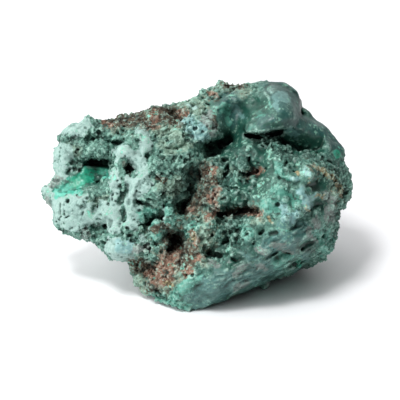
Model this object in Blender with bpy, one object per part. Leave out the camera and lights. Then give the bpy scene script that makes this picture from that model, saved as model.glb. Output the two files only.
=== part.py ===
"""A hand specimen of raw malachite: one craggy stone, closed all over, that rests on its flat broken base.

Its show face is charted on a sheet ruled in squares. The sheet leans back to face an eye in front of
the stone and above it, so a place is (u, v, w): squares to the right, squares up, and squares of
relief towards the eye. The hidden sides are charted in millimetres, as plain x, y and z.
"""

import math

import bmesh
import bpy
import numpy as np
from mathutils import Vector, geometry, noise
from mathutils.bvhtree import BVHTree

# Driving sizes, in metres.
SQUARE = 0.003  # one square of the sheet, which scales the whole stone
MM = 0.001
EYE_DISTANCE = 0.60
SHEET_CENTRE = Vector((0.0, 0.0, 0.0245))
SHEET_LEAN = math.radians(25)

# The band behind the rim, where the show face turns into the hidden sides.
BAND_WIDTH = 2.0  # squares, away from the eye
BAND_TAPER = 0.95

# How finely the stone is built.
CAGE_VOXEL = 0.7 * MM
FINE_VOXEL = 0.6 * MM
MOST_TRIANGLES = 9400
SHOWN_THINNING = 0.7  # against 1 on the hidden sides

# The crust: how far it rises and falls, and how much of that is crags, knobs and grains.
ROUGHNESS = 1.7 * MM
SMOOTH_SHARE = 0.3  # the part of it that the smooth places keep
CRAG_SIZE, CRAG_SHARE = 6.0 * MM, 0.55
KNOB_SIZE, KNOB_SHARE = 4.5 * MM, 0.6
GRAIN_SIZE, GRAIN_SHARE = 2.4 * MM, 0.3
SEED = 4

# Marks: lumps and holes with ragged edges.
MARK_SPREAD = 1.15  # how far a mark's edge reaches past its half width
RAGGED_SIZE = 3.0 * MM
RAGGED_STRAY = 1.2 * MM

ACROSS = Vector((1, 0, 0))
UP = Vector((0, math.sin(SHEET_LEAN), math.cos(SHEET_LEAN)))
TOWARDS = Vector((0, -math.cos(SHEET_LEAN), math.sin(SHEET_LEAN)))
EYE = SHEET_CENTRE + EYE_DISTANCE * TOWARDS

# The outline that the eye sees, clockwise from the left tip.
RIM = [
    (-16.4, 0.8, 0.6), (-15.2, 1.9, 1.0), (-14.4, 2.6, 1.2), (-14.9, 3.4, 0.8), (-14.8, 4.6, 0.6),
    (-14.2, 5.6, 0.5), (-13.9, 7.0, 0.4), (-13.2, 7.4, 0.4), (-12.0, 7.8, 0.4), (-11.1, 8.2, 0.4),
    (-10.0, 8.0, 0.0), (-8.0, 8.4, -0.4), (-6.2, 8.6, -0.8), (-5.2, 9.1, -1.0), (-3.6, 9.4, -1.0),
    (-2.1, 9.6, -1.0), (-1.4, 10.1, -1.0), (0.2, 10.6, -1.0), (0.9, 11.3, -1.0), (2.4, 11.7, -1.2),
    (4.8, 11.5, -0.6), (6.6, 12.1, 0.4), (8.1, 12.0, 0.8), (9.0, 11.6, 0.6), (9.9, 11.0, 0.6),
    (10.3, 9.6, 0.6), (11.6, 8.3, 0.2), (12.8, 7.4, 0.0), (13.8, 6.2, 0.0), (14.6, 5.5, 0.2),
    (14.7, 4.5, 0.2), (14.4, 4.0, 0.3), (14.8, 3.4, 0.1), (14.6, 2.0, 0.1), (14.9, 1.0, 0.0),
    (15.0, -0.3, -0.1), (14.6, -1.2, -0.3), (14.0, -2.2, -0.5), (13.7, -3.2, -0.8), (13.4, -4.7, -1.2),
    (12.5, -5.8, -1.4), (11.5, -6.5, -1.5), (10.0, -7.0, -1.6), (8.0, -7.8, -1.0), (6.2, -8.6, 0.0),
    (4.5, -9.3, 1.3), (3.0, -9.9, 2.3), (1.5, -10.5, 3.4), (0.0, -11.0, 4.2), (-1.3, -11.35, 4.2),
    (-2.2, -10.9, 4.0), (-3.2, -10.4, 3.6), (-4.6, -10.1, 3.1), (-5.1, -9.4, 2.4), (-6.4, -8.5, 1.6),
    (-7.0, -7.8, 1.2), (-7.2, -7.0, 1.0), (-7.1, -6.3, 1.6), (-7.6, -6.2, 3.4), (-8.8, -6.0, 3.6),
    (-9.4, -5.6, 3.5), (-9.9, -5.1, 3.3), (-10.8, -4.0, 2.9), (-11.8, -4.0, 2.7), (-13.1, -3.7, 2.2),
    (-14.0, -3.2, 1.9), (-14.7, -2.6, 1.5), (-14.9, -1.8, 1.3), (-14.9, -0.8, 1.1), (-15.5, -0.3, 0.8),
]  # fmt: skip

# Relief of the show face inside that outline.
LEFT_LOBE = [
    (-13.8, 4.0, 2.2), (-12.6, 7.0, 2.2), (-11.5, 7.3, 2.4), (-12.0, 6.0, 3.0), (-13.0, 5.0, 2.8),
    (-13.3, 3.6, 2.4), (-9.0, 7.0, 2.4), (-7.5, 7.8, 1.4), (-8.0, 5.2, 4.4), (-6.0, 6.6, 4.0),
    (-5.5, 4.0, 5.0), (-14.0, -1.0, 2.6), (-12.0, -1.0, 3.6), (-10.0, -1.5, 4.4), (-8.0, -1.0, 5.2),
    (-6.0, 1.0, 5.6), (-13.0, -3.0, 2.9), (-11.0, -3.2, 3.4), (-9.5, -3.8, 4.2), (-7.5, -4.0, 5.2),
    (-8.2, -5.2, 4.5), (-6.0, -5.0, 5.0), (-8.2, 1.2, 5.0),
]  # fmt: skip
VUG = [
    (-11.2, 5.2, 3.0), (-10.0, 5.2, 3.4), (-10.6, 4.0, 0.6), (-9.3, 3.5, 0.6), (-10.5, 2.8, 1.0),
    (-12.0, 2.0, 1.7), (-13.6, 1.1, 2.2), (-12.4, 0.5, 3.2), (-10.5, 1.0, 3.9), (-8.9, 3.2, 4.2),
    (-9.0, 6.0, 2.2), (-9.2, 2.2, 4.2), (-12.6, 3.4, 2.2),
]  # fmt: skip
MIDDLE = [
    (-3.5, 1.0, 6.0), (-4.0, 3.5, 5.8), (-2.5, 5.0, 5.2), (-1.0, 4.0, 5.4), (-3.5, 7.0, 3.4),
    (-1.5, 6.0, 4.6), (-5.0, -2.2, 3.6), (-4.0, -3.3, 5.6), (-3.5, -1.2, 5.8), (-6.2, -2.2, 5.4),
    (0.5, 3.4, 3.6), (-0.3, 2.0, 2.8), (-1.6, -0.5, 2.4), (0.0, -0.4, 4.2), (-2.5, -4.0, 2.4),
    (-1.5, -2.4, 4.8), (-3.5, -6.5, 4.6), (-5.0, -8.0, 3.6), (-6.0, -7.0, 2.4), (-2.0, -6.2, 5.4),
    (-3.5, -9.0, 4.6), (1.6, 1.0, 5.4), (1.3, -1.2, 6.2), (0.0, -2.8, 6.4), (-0.5, -4.5, 6.4),
    (0.5, -6.2, 6.8), (-1.0, -8.2, 6.2), (-1.8, -9.8, 5.4),
]  # fmt: skip
RIGHT_MASS = [
    (3.5, -1.2, 3.4), (3.5, 0.2, 6.0), (5.5, 0.0, 6.8), (3.5, -2.4, 6.6), (1.5, -5.4, 5.0),
    (3.2, -3.6, 5.6), (4.6, -3.2, 7.4), (3.5, -6.2, 7.8), (1.5, -8.0, 7.2), (1.0, -9.8, 5.4),
    (4.0, -8.0, 6.2), (6.5, -6.2, 7.4), (8.5, -6.6, 4.2), (7.0, -4.0, 8.4), (10.0, -4.0, 7.2),
    (10.0, -5.9, 3.6), (12.4, -4.2, 2.8), (12.0, -1.6, 6.2), (9.0, -1.5, 8.4), (8.5, 0.5, 8.6),
    (11.0, 0.5, 7.8), (11.0, 2.5, 7.6), (13.0, 2.0, 5.0), (13.4, 0.0, 4.2), (14.0, 3.0, 2.4),
    (6.5, 2.5, 6.4), (5.0, 2.7, 4.2), (4.0, 3.5, 5.4), (2.5, 2.5, 5.0), (8.0, 3.5, 6.8),
    (9.0, 2.0, 7.4), (7.5, 5.4, 5.8), (5.0, 5.2, 5.2), (6.2, 4.5, 5.2), (10.0, 4.0, 6.0),
    (11.8, 4.0, 4.8), (13.2, -2.4, 3.6),
]  # fmt: skip
CREVICE = [
    (1.5, 5.5, 1.6), (3.0, 5.8, 1.2), (5.8, 6.3, 0.8), (7.6, 6.6, 1.0), (9.8, 5.6, 1.6), (11.5, 5.6, 2.2),
]  # fmt: skip
HORN = [
    (4.7, 7.1, 5.0), (6.2, 7.4, 5.2), (7.0, 8.5, 5.2), (9.0, 8.2, 4.2), (7.5, 10.5, 3.6), (9.0, 10.3, 3.0),
    (10.0, 7.0, 3.8), (11.5, 7.0, 2.8), (13.0, 5.5, 2.2), (13.4, 4.5, 2.4), (8.2, 7.2, 4.4),
]  # fmt: skip
HOLLOW = [
    (4.0, 8.8, 1.6), (2.5, 9.0, 2.2), (4.0, 7.0, 1.8), (2.6, 7.4, 2.4), (0.5, 7.5, 4.8), (-1.0, 7.8, 4.2),
    (1.3, 6.5, 4.2), (4.0, 10.4, 2.2), (2.5, 10.3, 2.4), (1.0, 9.5, 3.0), (5.8, 10.6, 2.8), (2.5, 11.2, 0.4),
    (-1.0, 9.4, 1.6), (-3.0, 8.6, 1.2), (-5.0, 8.2, 1.0),
]  # fmt: skip
SHOW_FACE = LEFT_LOBE + VUG + MIDDLE + RIGHT_MASS + CREVICE + HORN + HOLLOW

# The hidden sides: x, y and z in millimetres.
UNDERSIDE = [
    (27, 8, -4), (21, 20, -4), (4, 25, -4), (-12, 18, -4), (-16, 0, -4), (8, -12, -4), (-6, -20, -4),
    (-26, 6, 11), (-36, 2, 16), (-27, -8, 12), (38, 4, 12), (36, 16, 14),
]  # fmt: skip
BACK = [
    (-40, 10, 24), (-37, 12, 36), (-28, 19, 40), (-26, 20, 22), (-14, 27, 34), (-10, 27, 14), (-6, 24, 48),
    (4, 33, 28), (10, 29, 46), (20, 30, 16), (24, 27, 50), (26, 31, 32), (37, 18, 42), (41, 17, 26),
    (12, 20, 57), (32, 24, 8),
]  # fmt: skip

# Lumps, ridges and lips of the show face: a trail of u, v places, half width and height in millimetres.
LUMPS = [
    ([(-9.2, 4.9), (-10.4, 4.9), (-11.8, 4.7)], 2.2, 1.8),  # lip over the green vug
    ([(-13.0, 1.5), (-11.9, 2.1)], 2.4, 0.8),  # silky floor of the vug
    ([(-15.3, 0.6)], 1.8, 0.6),
    ([(-15.0, -0.4)], 1.5, 0.5),
    ([(-12.6, 7.0), (-11.6, 7.4)], 2.6, 0.7),
    ([(-8.4, 4.6), (-7.0, 4.9)], 2.2, 0.9),
    ([(-5.8, 6.7), (-5.2, 5.4)], 2.2, 1.0),
    ([(-8.2, -5.2)], 3.4, 1.6),  # pale bluish lump at the foot of the lobe
    ([(-6.1, -5.1)], 2.8, 1.2),
    ([(-5.3, -5.9)], 1.6, 0.9),
    ([(-4.8, 8.7)], 2.3, 0.9),  # gritty knobs along the top
    ([(-3.4, 9.1)], 2.3, 0.9),
    ([(-1.1, 9.4)], 2.6, 1.2),
    ([(0.8, 10.8)], 1.6, 0.9),
    ([(1.8, 10.6)], 1.6, 0.9),
    ([(-0.9, 7.5)], 3.0, 1.2),  # twin bluish knob
    ([(0.2, 6.7)], 2.4, 1.0),
    ([(1.2, 7.6)], 3.0, 1.2),
    ([(4.9, 7.4), (6.0, 7.3)], 2.6, 1.4),  # toe of the horn
    ([(5.8, 8.8), (6.8, 8.9)], 1.8, 0.8),
    ([(7.6, 10.8), (8.6, 9.2)], 4.0, 1.0),
    ([(12.7, 5.3)], 1.8, 1.2),
    ([(-3.1, -0.9), (-3.0, -2.1)], 1.8, 1.8),  # pale column between the holes
    ([(-4.5, -2.9)], 2.2, 1.4),
    ([(7.7, 4.0), (8.1, 3.0), (9.2, 2.3)], 1.8, 1.8),  # mint rib
    ([(10.7, 2.7)], 3.2, 1.6),  # whitish blue dome
    ([(8.0, 0.7)], 2.6, 1.3),
    ([(10.4, 0.2)], 3.0, 1.2),
    ([(6.8, -0.6)], 2.8, 1.2),
    ([(9.6, -1.2)], 2.2, 1.1),
    ([(13.1, -0.6)], 3.0, 1.2),
    ([(11.6, 3.5), (13.0, 2.5), (14.0, 0.9)], 1.6, 1.4),  # layered brown rim
    ([(4.9, -3.5)], 2.8, 1.4),
    ([(3.1, -4.9)], 2.0, 1.2),
    ([(8.3, -6.1)], 2.6, 1.2),
    ([(4.2, -8.3), (7.0, -7.0), (9.4, -5.4)], 1.8, 0.9),  # flow ridges of the lower right
    ([(3.2, -6.8), (6.6, -5.0), (10.6, -3.6)], 1.8, 1.1),
    ([(10.5, -5.2), (12.6, -4.0)], 1.8, 1.0),
    ([(1.2, -9.4), (4.6, -8.8)], 2.0, 0.7),
    ([(-2.9, -9.9), (-1.8, -8.6), (-0.6, -7.7)], 1.6, 1.1),  # bright edge of the lower face
]  # fmt: skip

# Holes, slots and grooves of the show face, in the same terms.
HOLES = [
    ([(-12.8, 4.0), (-12.0, 4.1)], 2.2, 3.0),  # black roof of the vug
    ([(-11.1, 3.8), (-10.0, 3.7), (-8.9, 3.4)], 2.4, 4.5),
    ([(-10.6, 1.9), (-10.2, 1.7)], 1.5, 1.6),
    ([(-11.3, 6.2), (-10.5, 6.1)], 1.4, 2.2),
    ([(-9.7, 5.8), (-7.9, 5.9)], 1.6, 3.2),
    ([(-8.9, 4.9), (-8.6, 4.4)], 1.4, 1.6),
    ([(-12.5, 6.2)], 1.4, 1.2),
    ([(-7.3, 3.4), (-6.8, 2.8)], 2.0, 3.2),
    ([(-7.4, 1.3), (-8.0, -0.3)], 1.5, 1.8),
    ([(-10.4, 0.2), (-10.6, -1.1)], 1.6, 1.8),
    ([(-7.5, -1.0), (-7.8, -2.4)], 1.6, 1.6),
    ([(-4.8, 4.8), (-5.2, 3.5)], 1.4, 2.2),
    ([(-6.6, 5.3)], 1.8, 0.9),
    ([(-10.7, -2.9), (-9.6, -2.6)], 1.8, 3.2),
    ([(-11.5, -3.4)], 1.8, 1.2),
    ([(-13.0, -2.9)], 1.8, 1.0),
    ([(-6.0, -0.3)], 2.0, 4.0),  # black holes left of the rusty valley
    ([(-5.6, -2.5), (-4.7, -1.9), (-3.8, -1.6)], 2.2, 4.6),
    ([(-3.5, -3.6), (-2.6, -4.2), (-1.4, -4.2)], 3.0, 5.0),
    ([(-1.9, -4.9), (-2.6, -5.6)], 1.4, 1.6),
    ([(-0.7, 3.0), (-0.6, 1.5)], 2.2, 5.0),
    ([(-0.9, 0.8), (-1.6, -0.2), (-1.9, -1.4)], 2.4, 5.0),
    ([(-4.8, 1.8), (-3.4, 2.0)], 1.5, 2.0),
    ([(-3.4, 0.8), (-3.7, -0.4)], 1.4, 1.8),
    ([(-2.3, 1.2), (-2.2, 0.1)], 1.6, 2.2),
    ([(-2.6, 2.8)], 1.7, 2.0),
    ([(-1.3, 3.6)], 1.3, 1.8),
    ([(-2.8, 5.0), (-1.1, 5.6)], 1.4, 1.8),
    ([(-4.3, 6.3), (-5.0, 6.9)], 1.4, 1.4),
    ([(-2.6, 8.8), (-1.8, 8.0)], 2.2, 3.2),
    ([(0.9, 9.7), (0.3, 9.2)], 1.6, 1.6),
    ([(2.0, 10.2), (2.6, 10.8)], 1.4, 1.4),
    ([(4.6, 6.3), (6.0, 6.2), (8.0, 6.7)], 2.2, 6.0),  # crevice under the horn
    ([(9.0, 5.8), (10.4, 5.4), (11.6, 5.6)], 3.2, 4.0),
    ([(1.2, 5.5), (2.8, 5.7)], 3.0, 5.0),
    ([(0.6, 4.6), (2.0, 4.6)], 1.4, 2.2),
    ([(3.4, 8.6), (3.8, 7.4)], 3.4, 2.0),
    ([(5.4, 9.6), (6.2, 9.4)], 2.2, 1.6),
    ([(10.3, 8.9)], 1.9, 2.2),
    ([(4.8, 2.6), (6.0, 2.9)], 1.8, 3.2),
    ([(4.9, 3.8), (4.7, 3.1)], 1.6, 2.2),
    ([(2.4, 4.0)], 1.5, 2.0),
    ([(2.8, 3.2), (2.2, 1.9)], 1.8, 3.0),
    ([(3.5, 2.6)], 1.3, 1.8),
    ([(8.6, 1.6)], 1.6, 1.0),
    ([(9.2, 0.4), (9.1, -0.2)], 1.4, 1.2),
    ([(1.9, -1.5), (3.5, -1.3), (5.8, -1.0)], 2.1, 4.2),  # long black slit
    ([(2.4, -2.3)], 1.5, 2.2),
    ([(1.5, -3.3)], 1.6, 2.2),
    ([(2.5, -4.3)], 1.8, 3.0),
    ([(4.1, -2.6), (3.8, -4.5)], 1.4, 3.0),
    ([(0.8, -5.2), (2.1, -5.5)], 1.8, 3.2),
    ([(3.2, -6.2), (3.9, -5.8)], 1.6, 2.2),
    ([(6.2, -3.2)], 1.7, 2.6),
    ([(7.3, -3.4)], 2.0, 1.8),
    ([(9.5, -2.5), (10.4, -1.8)], 1.5, 2.0),
    ([(10.2, -4.6), (11.3, -4.4)], 2.0, 1.4),
    ([(9.5, -6.4), (10.6, -6.2)], 2.0, 2.4),
    ([(11.2, 1.5), (12.4, 1.7)], 2.0, 2.4),
    ([(11.6, -0.6), (12.4, -0.5)], 2.0, 2.0),
    ([(12.4, 2.6), (13.6, 1.6)], 1.3, 1.2),
    ([(13.0, -3.3)], 1.6, 1.8),
    ([(-6.4, -6.2), (-5.0, -6.7)], 2.2, 2.6),  # recess under the lobe
    ([(0.0, -2.2), (-0.9, -2.9)], 1.4, 1.6),
    ([(11.7, 4.9), (12.1, 4.2)], 1.6, 2.0),
]  # fmt: skip

# Knobs (+) and hollows (-) of the hidden sides: x, y, z, half width and height, in millimetres.
HIDDEN_MARKS = [
    (43, 4, 30, 5.0, 1.8), (43, 0, 19, 4.5, -2.2), (40, -2, 13, 4.5, 1.6), (44, 8, 23, 4.0, 1.6),
    (37, 20, 30, 4.5, -2.8), (30, 20, 50, 5.0, 1.8), (8, 26, 50, 5.0, 1.8), (-16, 22, 42, 5.0, 2.0),
    (-30, 22, 36, 6.0, 2.2), (-18, 26, 26, 7.0, 2.6), (-4, 30, 40, 7.0, 2.2), (10, 34, 22, 8.0, 2.4),
    (22, 33, 36, 7.0, 2.4), (34, 24, 20, 7.0, 2.6), (40, 16, 36, 5.0, 1.6), (-36, 14, 22, 5.0, 1.6),
    (-24, 24, 14, 5.0, 1.8), (0, 30, 12, 6.0, 2.0), (-10, 27, 46, 5.0, -3.0), (-22, 24, 34, 4.5, -3.0),
    (2, 33, 30, 5.0, -3.6), (16, 33, 30, 4.0, -3.0), (30, 29, 28, 5.0, -3.4), (-8, 28, 18, 4.5, -3.0),
    (18, 31, 12, 4.5, -2.6), (40, 12, 20, 4.0, -2.4), (-30, 16, 18, 4.0, -2.4), (36, 10, 8, 4.0, -2.0),
    (14, 26, 55, 4.5, -2.4), (28, 27, 46, 4.0, -2.4), (-34, 2, 14, 4.0, -2.0), (-22, -4, 8, 4.0, -2.2),
]  # fmt: skip

# Places where the skin is smoother: u, v and radius in squares.
SMOOTH_AREAS = [
    (-12.6, 4.5, 2.2), (-11.5, 2.4, 2.4), (-12.0, -1.2, 2.6), (-8.8, -0.6, 2.6), (-7.0, 3.5, 2.6),
    (-6.0, 5.6, 1.6), (8.0, 8.8, 3.6), (12.0, 6.6, 2.4), (3.6, 8.4, 2.6), (2.0, -8.8, 3.0),
    (5.6, -7.6, 2.6), (8.6, 0.6, 3.0), (8.4, -2.6, 2.4),
]  # fmt: skip


def place(u, v, w):
    """A point of the sheet, raised w squares along its own line of sight."""
    nearer = 1 - w * SQUARE / EYE_DISTANCE
    return SHEET_CENTRE + SQUARE * ((u * ACROSS + v * UP) * nearer + w * TOWARDS)


def chart(point):
    """The u, v and w of a point."""
    offset = point - SHEET_CENTRE
    w = offset.dot(TOWARDS) / SQUARE
    nearer = 1 - w * SQUARE / EYE_DISTANCE
    return offset.dot(ACROSS) / SQUARE / nearer, offset.dot(UP) / SQUARE / nearer, w


def skin(rim, inner):
    """Triangles over a rim and the landmarks inside it, as numbers into rim + inner."""
    flat = [Vector((u, v)) for u, v, _ in rim + inner]
    edge = [(i, (i + 1) % len(rim)) for i in range(len(rim))]
    inside_rim = 1
    _, _, faces, origins, _, _ = geometry.delaunay_2d_cdt(flat, edge, [], inside_rim, 1e-5)
    return [[origins[corner][0] for corner in face] for face in faces]


def rough_block():
    """The low cage of the stone: a show face and a hidden face, joined by a band behind the rim."""
    mesh = bmesh.new()
    back_rim = [(u * BAND_TAPER, v * BAND_TAPER, w - BAND_WIDTH) for u, v, w in RIM]
    hidden = [chart(Vector(p) * MM) for p in UNDERSIDE + BACK]
    front = [mesh.verts.new(place(*spot)) for spot in RIM + SHOW_FACE]
    back = [mesh.verts.new(place(*spot)) for spot in back_rim + hidden]
    for face in skin(RIM, SHOW_FACE):
        mesh.faces.new([front[i] for i in face])
    for face in skin(back_rim, hidden):
        mesh.faces.new([back[i] for i in reversed(face)])
    for i in range(len(RIM)):
        j = (i + 1) % len(RIM)
        mesh.faces.new((front[i], front[j], back[j], back[i]))
    bmesh.ops.recalc_face_normals(mesh, faces=mesh.faces)
    return mesh


def bake_modifiers(stone):
    """Turn the stone's modifiers into its mesh."""
    graph = bpy.context.evaluated_depsgraph_get()
    done = bpy.data.meshes.new_from_object(stone.evaluated_get(graph))
    stone.modifiers.clear()
    stone.data = done


def remesh(stone, voxel):
    """Give the stone an even skin of small squares."""
    modifier = stone.modifiers.new("even skin", "REMESH")
    modifier.mode = "VOXEL"
    modifier.voxel_size = voxel
    bake_modifiers(stone)


def soften(stone, times):
    """Blunt the creases of the cage."""
    modifier = stone.modifiers.new("soften", "SMOOTH")
    modifier.factor = 0.5
    modifier.iterations = times
    bake_modifiers(stone)


def corners(stone):
    """The stone's points as rows of numbers."""
    rows = np.empty(len(stone.data.vertices) * 3)
    stone.data.vertices.foreach_get("co", rows)
    return rows.reshape(-1, 3)


def reshape(stone, rows):
    """Move the stone's points to these rows."""
    stone.data.vertices.foreach_set("co", rows.ravel())
    stone.data.update()


def away_from(rows, trail):
    """How far each row lies from a trail of points."""
    nearest = np.full(len(rows), np.inf)
    for start, end in zip(trail, trail[1:] or trail):
        run = np.array(end - start)
        offset = rows - np.array(start)
        along = np.clip(offset @ run / max(run @ run, 1e-12), 0, 1)
        nearest = np.minimum(nearest, np.linalg.norm(offset - along[:, None] * run, axis=1))
    return nearest


def wandering(rows):
    """The rows, strayed a little, so that what is measured from them has ragged edges."""
    stray = [noise.turbulence_vector(Vector(row) / RAGGED_SIZE, 2, False) for row in rows]
    return rows + RAGGED_STRAY * np.array(stray)


def press(rows, strayed, trail, reach, push):
    """Push the rows near a trail: all the way in the middle, not at all from its reach on."""
    near = np.clip(1 - (away_from(strayed, trail) / reach) ** 2, 0, 1)
    rows += np.minimum(near * 1.5, 1)[:, None] * np.array(push)


def sculpt_show_face(stone, marks, sign):
    """Raise (+) or sink (-) marks that the eye sees."""
    tree = BVHTree.FromObject(stone, bpy.context.evaluated_depsgraph_get())
    rows = corners(stone)
    strayed = wandering(rows)
    for places, half_width, height in marks:
        hits = [tree.ray_cast(EYE, place(u, v, 0) - EYE) for u, v in places]
        trail = [spot for spot, _, _, _ in hits if spot]
        normal = sum((n for _, n, _, _ in hits if n), TOWARDS * len(trail)).normalized()
        press(rows, strayed, trail, half_width * MM * MARK_SPREAD, sign * height * MM * normal)
    reshape(stone, rows)


def sculpt_hidden_sides(stone):
    """Raise or sink the marks of the back, the ends and the top."""
    tree = BVHTree.FromObject(stone, bpy.context.evaluated_depsgraph_get())
    rows = corners(stone)
    strayed = wandering(rows)
    for x, y, z, half_width, height in HIDDEN_MARKS:
        spot, normal, _, _ = tree.find_nearest(Vector((x, y, z)) * MM)
        press(rows, strayed, [spot], half_width * MM, height * MM * normal)
    reshape(stone, rows)


def crust(point):
    """How far the craggy crust rises (+) or falls (-) at a point."""
    crags = noise.ridged_multi_fractal(point / CRAG_SIZE, 0.9, 2.1, 4, 0.9, 2.0) - 0.8
    grains = noise.fractal(point / GRAIN_SIZE, 0.8, 2.0, 3)
    nearest, second = noise.voronoi(point / KNOB_SIZE)[0][:2]
    knobs = min(1.6 * (second - nearest), 1.0) ** 0.5 - 0.65
    return ROUGHNESS * (CRAG_SHARE * crags + KNOB_SHARE * knobs + GRAIN_SHARE * grains)


def calmness(point, normal):
    """1 in the middle of a smooth place of the show face, 0 away from all of them."""
    if normal.dot(TOWARDS) < -0.1:
        return 0.0
    u, v, _ = chart(point)
    reach = [1.4 - math.dist((u, v), (area_u, area_v)) / radius for area_u, area_v, radius in SMOOTH_AREAS]
    return min(max(reach + [0.0]), 1.0)


def roughen(stone):
    """Craggy rises and falls all over, gentler on the smooth places of the show face."""
    for vertex in stone.data.vertices:
        point = vertex.co.copy()
        keep = 1 - (1 - SMOOTH_SHARE) * calmness(point, vertex.normal)
        vertex.co = point + keep * crust(point) * vertex.normal
    stone.data.update()


def drop_crumbs(stone):
    """Keep the one body and remove any crumb that came loose from it."""
    mesh = bmesh.new()
    mesh.from_mesh(stone.data)
    unseen = set(mesh.verts)
    bodies = []
    while unseen:
        body = [unseen.pop()]
        for vertex in body:
            for edge in vertex.link_edges:
                neighbour = edge.other_vert(vertex)
                if neighbour in unseen:
                    unseen.remove(neighbour)
                    body.append(neighbour)
        bodies.append(body)
    bodies.sort(key=len)
    for body in bodies[:-1]:
        bmesh.ops.delete(mesh, geom=body, context="VERTS")
    mesh.to_mesh(stone.data)
    mesh.free()


def thin_out(stone):
    """Bring the stone down to few enough triangles, with more of them kept on the show face."""
    hidden = stone.vertex_groups.new(name="hidden")
    for vertex in stone.data.vertices:
        share = SHOWN_THINNING if vertex.normal.dot(TOWARDS) > -0.1 else 1.0
        hidden.add([vertex.index], share, "REPLACE")
    modifier = stone.modifiers.new("thin out", "DECIMATE")
    modifier.vertex_group = "hidden"
    modifier.vertex_group_factor = 1.0
    modifier.use_collapse_triangulate = True
    modifier.ratio = MOST_TRIANGLES / sum(len(face.vertices) - 2 for face in stone.data.polygons)
    bake_modifiers(stone)
    stone.vertex_groups.clear()


def cut_resting_face(stone):
    """Cut the broken base off flat, at the floor."""
    mesh = bmesh.new()
    mesh.from_mesh(stone.data)
    parts = mesh.verts[:] + mesh.edges[:] + mesh.faces[:]
    below = Vector((0, 0, -1))
    cut = bmesh.ops.bisect_plane(mesh, geom=parts, plane_co=(0, 0, 0), plane_no=below, clear_outer=True)
    border = [part for part in cut["geom_cut"] if isinstance(part, bmesh.types.BMEdge)]
    base = bmesh.ops.holes_fill(mesh, edges=border)["faces"]
    for face in base:
        if face.normal.z > 0:
            face.normal_flip()
    bmesh.ops.triangulate(mesh, faces=mesh.faces)
    mesh.to_mesh(stone.data)
    mesh.free()


def centre(stone):
    """Put the origin under the middle of the stone, on its resting face."""
    rows = corners(stone)
    low, high = rows.min(axis=0), rows.max(axis=0)
    shift = np.array([(low[0] + high[0]) / 2, (low[1] + high[1]) / 2, low[2]])
    reshape(stone, rows - shift)


def malachite_material():
    """Matt green stone."""
    material = bpy.data.materials.new("malachite")
    material.use_nodes = True
    shader = material.node_tree.nodes["Principled BSDF"]
    shader.inputs["Base Color"].default_value = (0.13, 0.32, 0.25, 1.0)
    shader.inputs["Roughness"].default_value = 0.6
    return material


def main():
    for old in list(bpy.data.objects):
        bpy.data.objects.remove(old)
    noise.seed_set(SEED)
    data = bpy.data.meshes.new("malachite_stone")
    rough_block().to_mesh(data)
    stone = bpy.data.objects.new("malachite_stone", data)
    bpy.context.scene.collection.objects.link(stone)
    remesh(stone, CAGE_VOXEL)
    soften(stone, 3)
    sculpt_show_face(stone, LUMPS, 1)
    sculpt_show_face(stone, HOLES, -1)
    sculpt_hidden_sides(stone)
    roughen(stone)
    remesh(stone, FINE_VOXEL)
    drop_crumbs(stone)
    soften(stone, 1)
    thin_out(stone)
    cut_resting_face(stone)
    centre(stone)
    stone.data.materials.append(malachite_material())


main()
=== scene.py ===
import math
import time

import bpy
import bmesh
import numpy as np
import openvdb
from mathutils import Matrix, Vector


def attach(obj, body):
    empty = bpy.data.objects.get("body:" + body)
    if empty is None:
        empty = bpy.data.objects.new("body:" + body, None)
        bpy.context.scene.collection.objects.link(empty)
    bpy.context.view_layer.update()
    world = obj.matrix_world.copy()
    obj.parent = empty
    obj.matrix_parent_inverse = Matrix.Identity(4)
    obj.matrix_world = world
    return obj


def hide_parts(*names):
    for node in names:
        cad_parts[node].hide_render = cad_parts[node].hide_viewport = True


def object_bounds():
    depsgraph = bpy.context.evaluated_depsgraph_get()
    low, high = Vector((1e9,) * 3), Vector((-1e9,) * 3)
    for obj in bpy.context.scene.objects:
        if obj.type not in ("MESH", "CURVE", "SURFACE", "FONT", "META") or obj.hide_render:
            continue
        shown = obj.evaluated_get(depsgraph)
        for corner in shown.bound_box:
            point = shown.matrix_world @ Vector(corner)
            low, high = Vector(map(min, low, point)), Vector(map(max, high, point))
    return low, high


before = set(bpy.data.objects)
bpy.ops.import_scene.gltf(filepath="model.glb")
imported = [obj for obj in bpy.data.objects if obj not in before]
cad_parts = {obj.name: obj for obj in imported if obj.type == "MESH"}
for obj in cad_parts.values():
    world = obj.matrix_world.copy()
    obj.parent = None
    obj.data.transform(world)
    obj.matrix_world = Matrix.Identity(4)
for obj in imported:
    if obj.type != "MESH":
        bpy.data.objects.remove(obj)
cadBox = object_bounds()
startTime = time.time()
mm = 0.001


def report(text):
    print(f"[{time.time() - startTime:5.1f} s] {text}")


report("frame loaded")

# The show face is charted on a leaning sheet ruled in 3 mm squares: u to the right, v up.
sheet = {
    "square": 3.0 * mm,
    "centre": Vector((0.001376, -0.002749, 0.0245)),
    "lean": math.radians(25),
    "eyeDistance": 0.60,
    "sightReach": 0.05,  # how far before and behind the sheet a line of sight is followed
    "sightStep": 0.15 * mm,
}
across = Vector((1, 0, 0))
upward = Vector((0, math.sin(sheet["lean"]), math.cos(sheet["lean"])))
towards = Vector((0, -math.cos(sheet["lean"]), math.sin(sheet["lean"])))
eye = sheet["centre"] + sheet["eyeDistance"] * towards


def sheetPoint(u, v):
    return sheet["centre"] + sheet["square"] * (float(u) * across + float(v) * upward)


def sheetPlace(points):
    # u and v of each row of points, as the eye sees them
    offset = points - np.array(sheet["centre"], dtype=np.float32)
    near = 1 - offset @ np.array(towards) / sheet["eyeDistance"]
    u = offset @ np.array(across) / near / sheet["square"]
    v = offset @ np.array(upward) / near / sheet["square"]
    return np.stack((u, v), axis=1).astype(np.float32)


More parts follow.
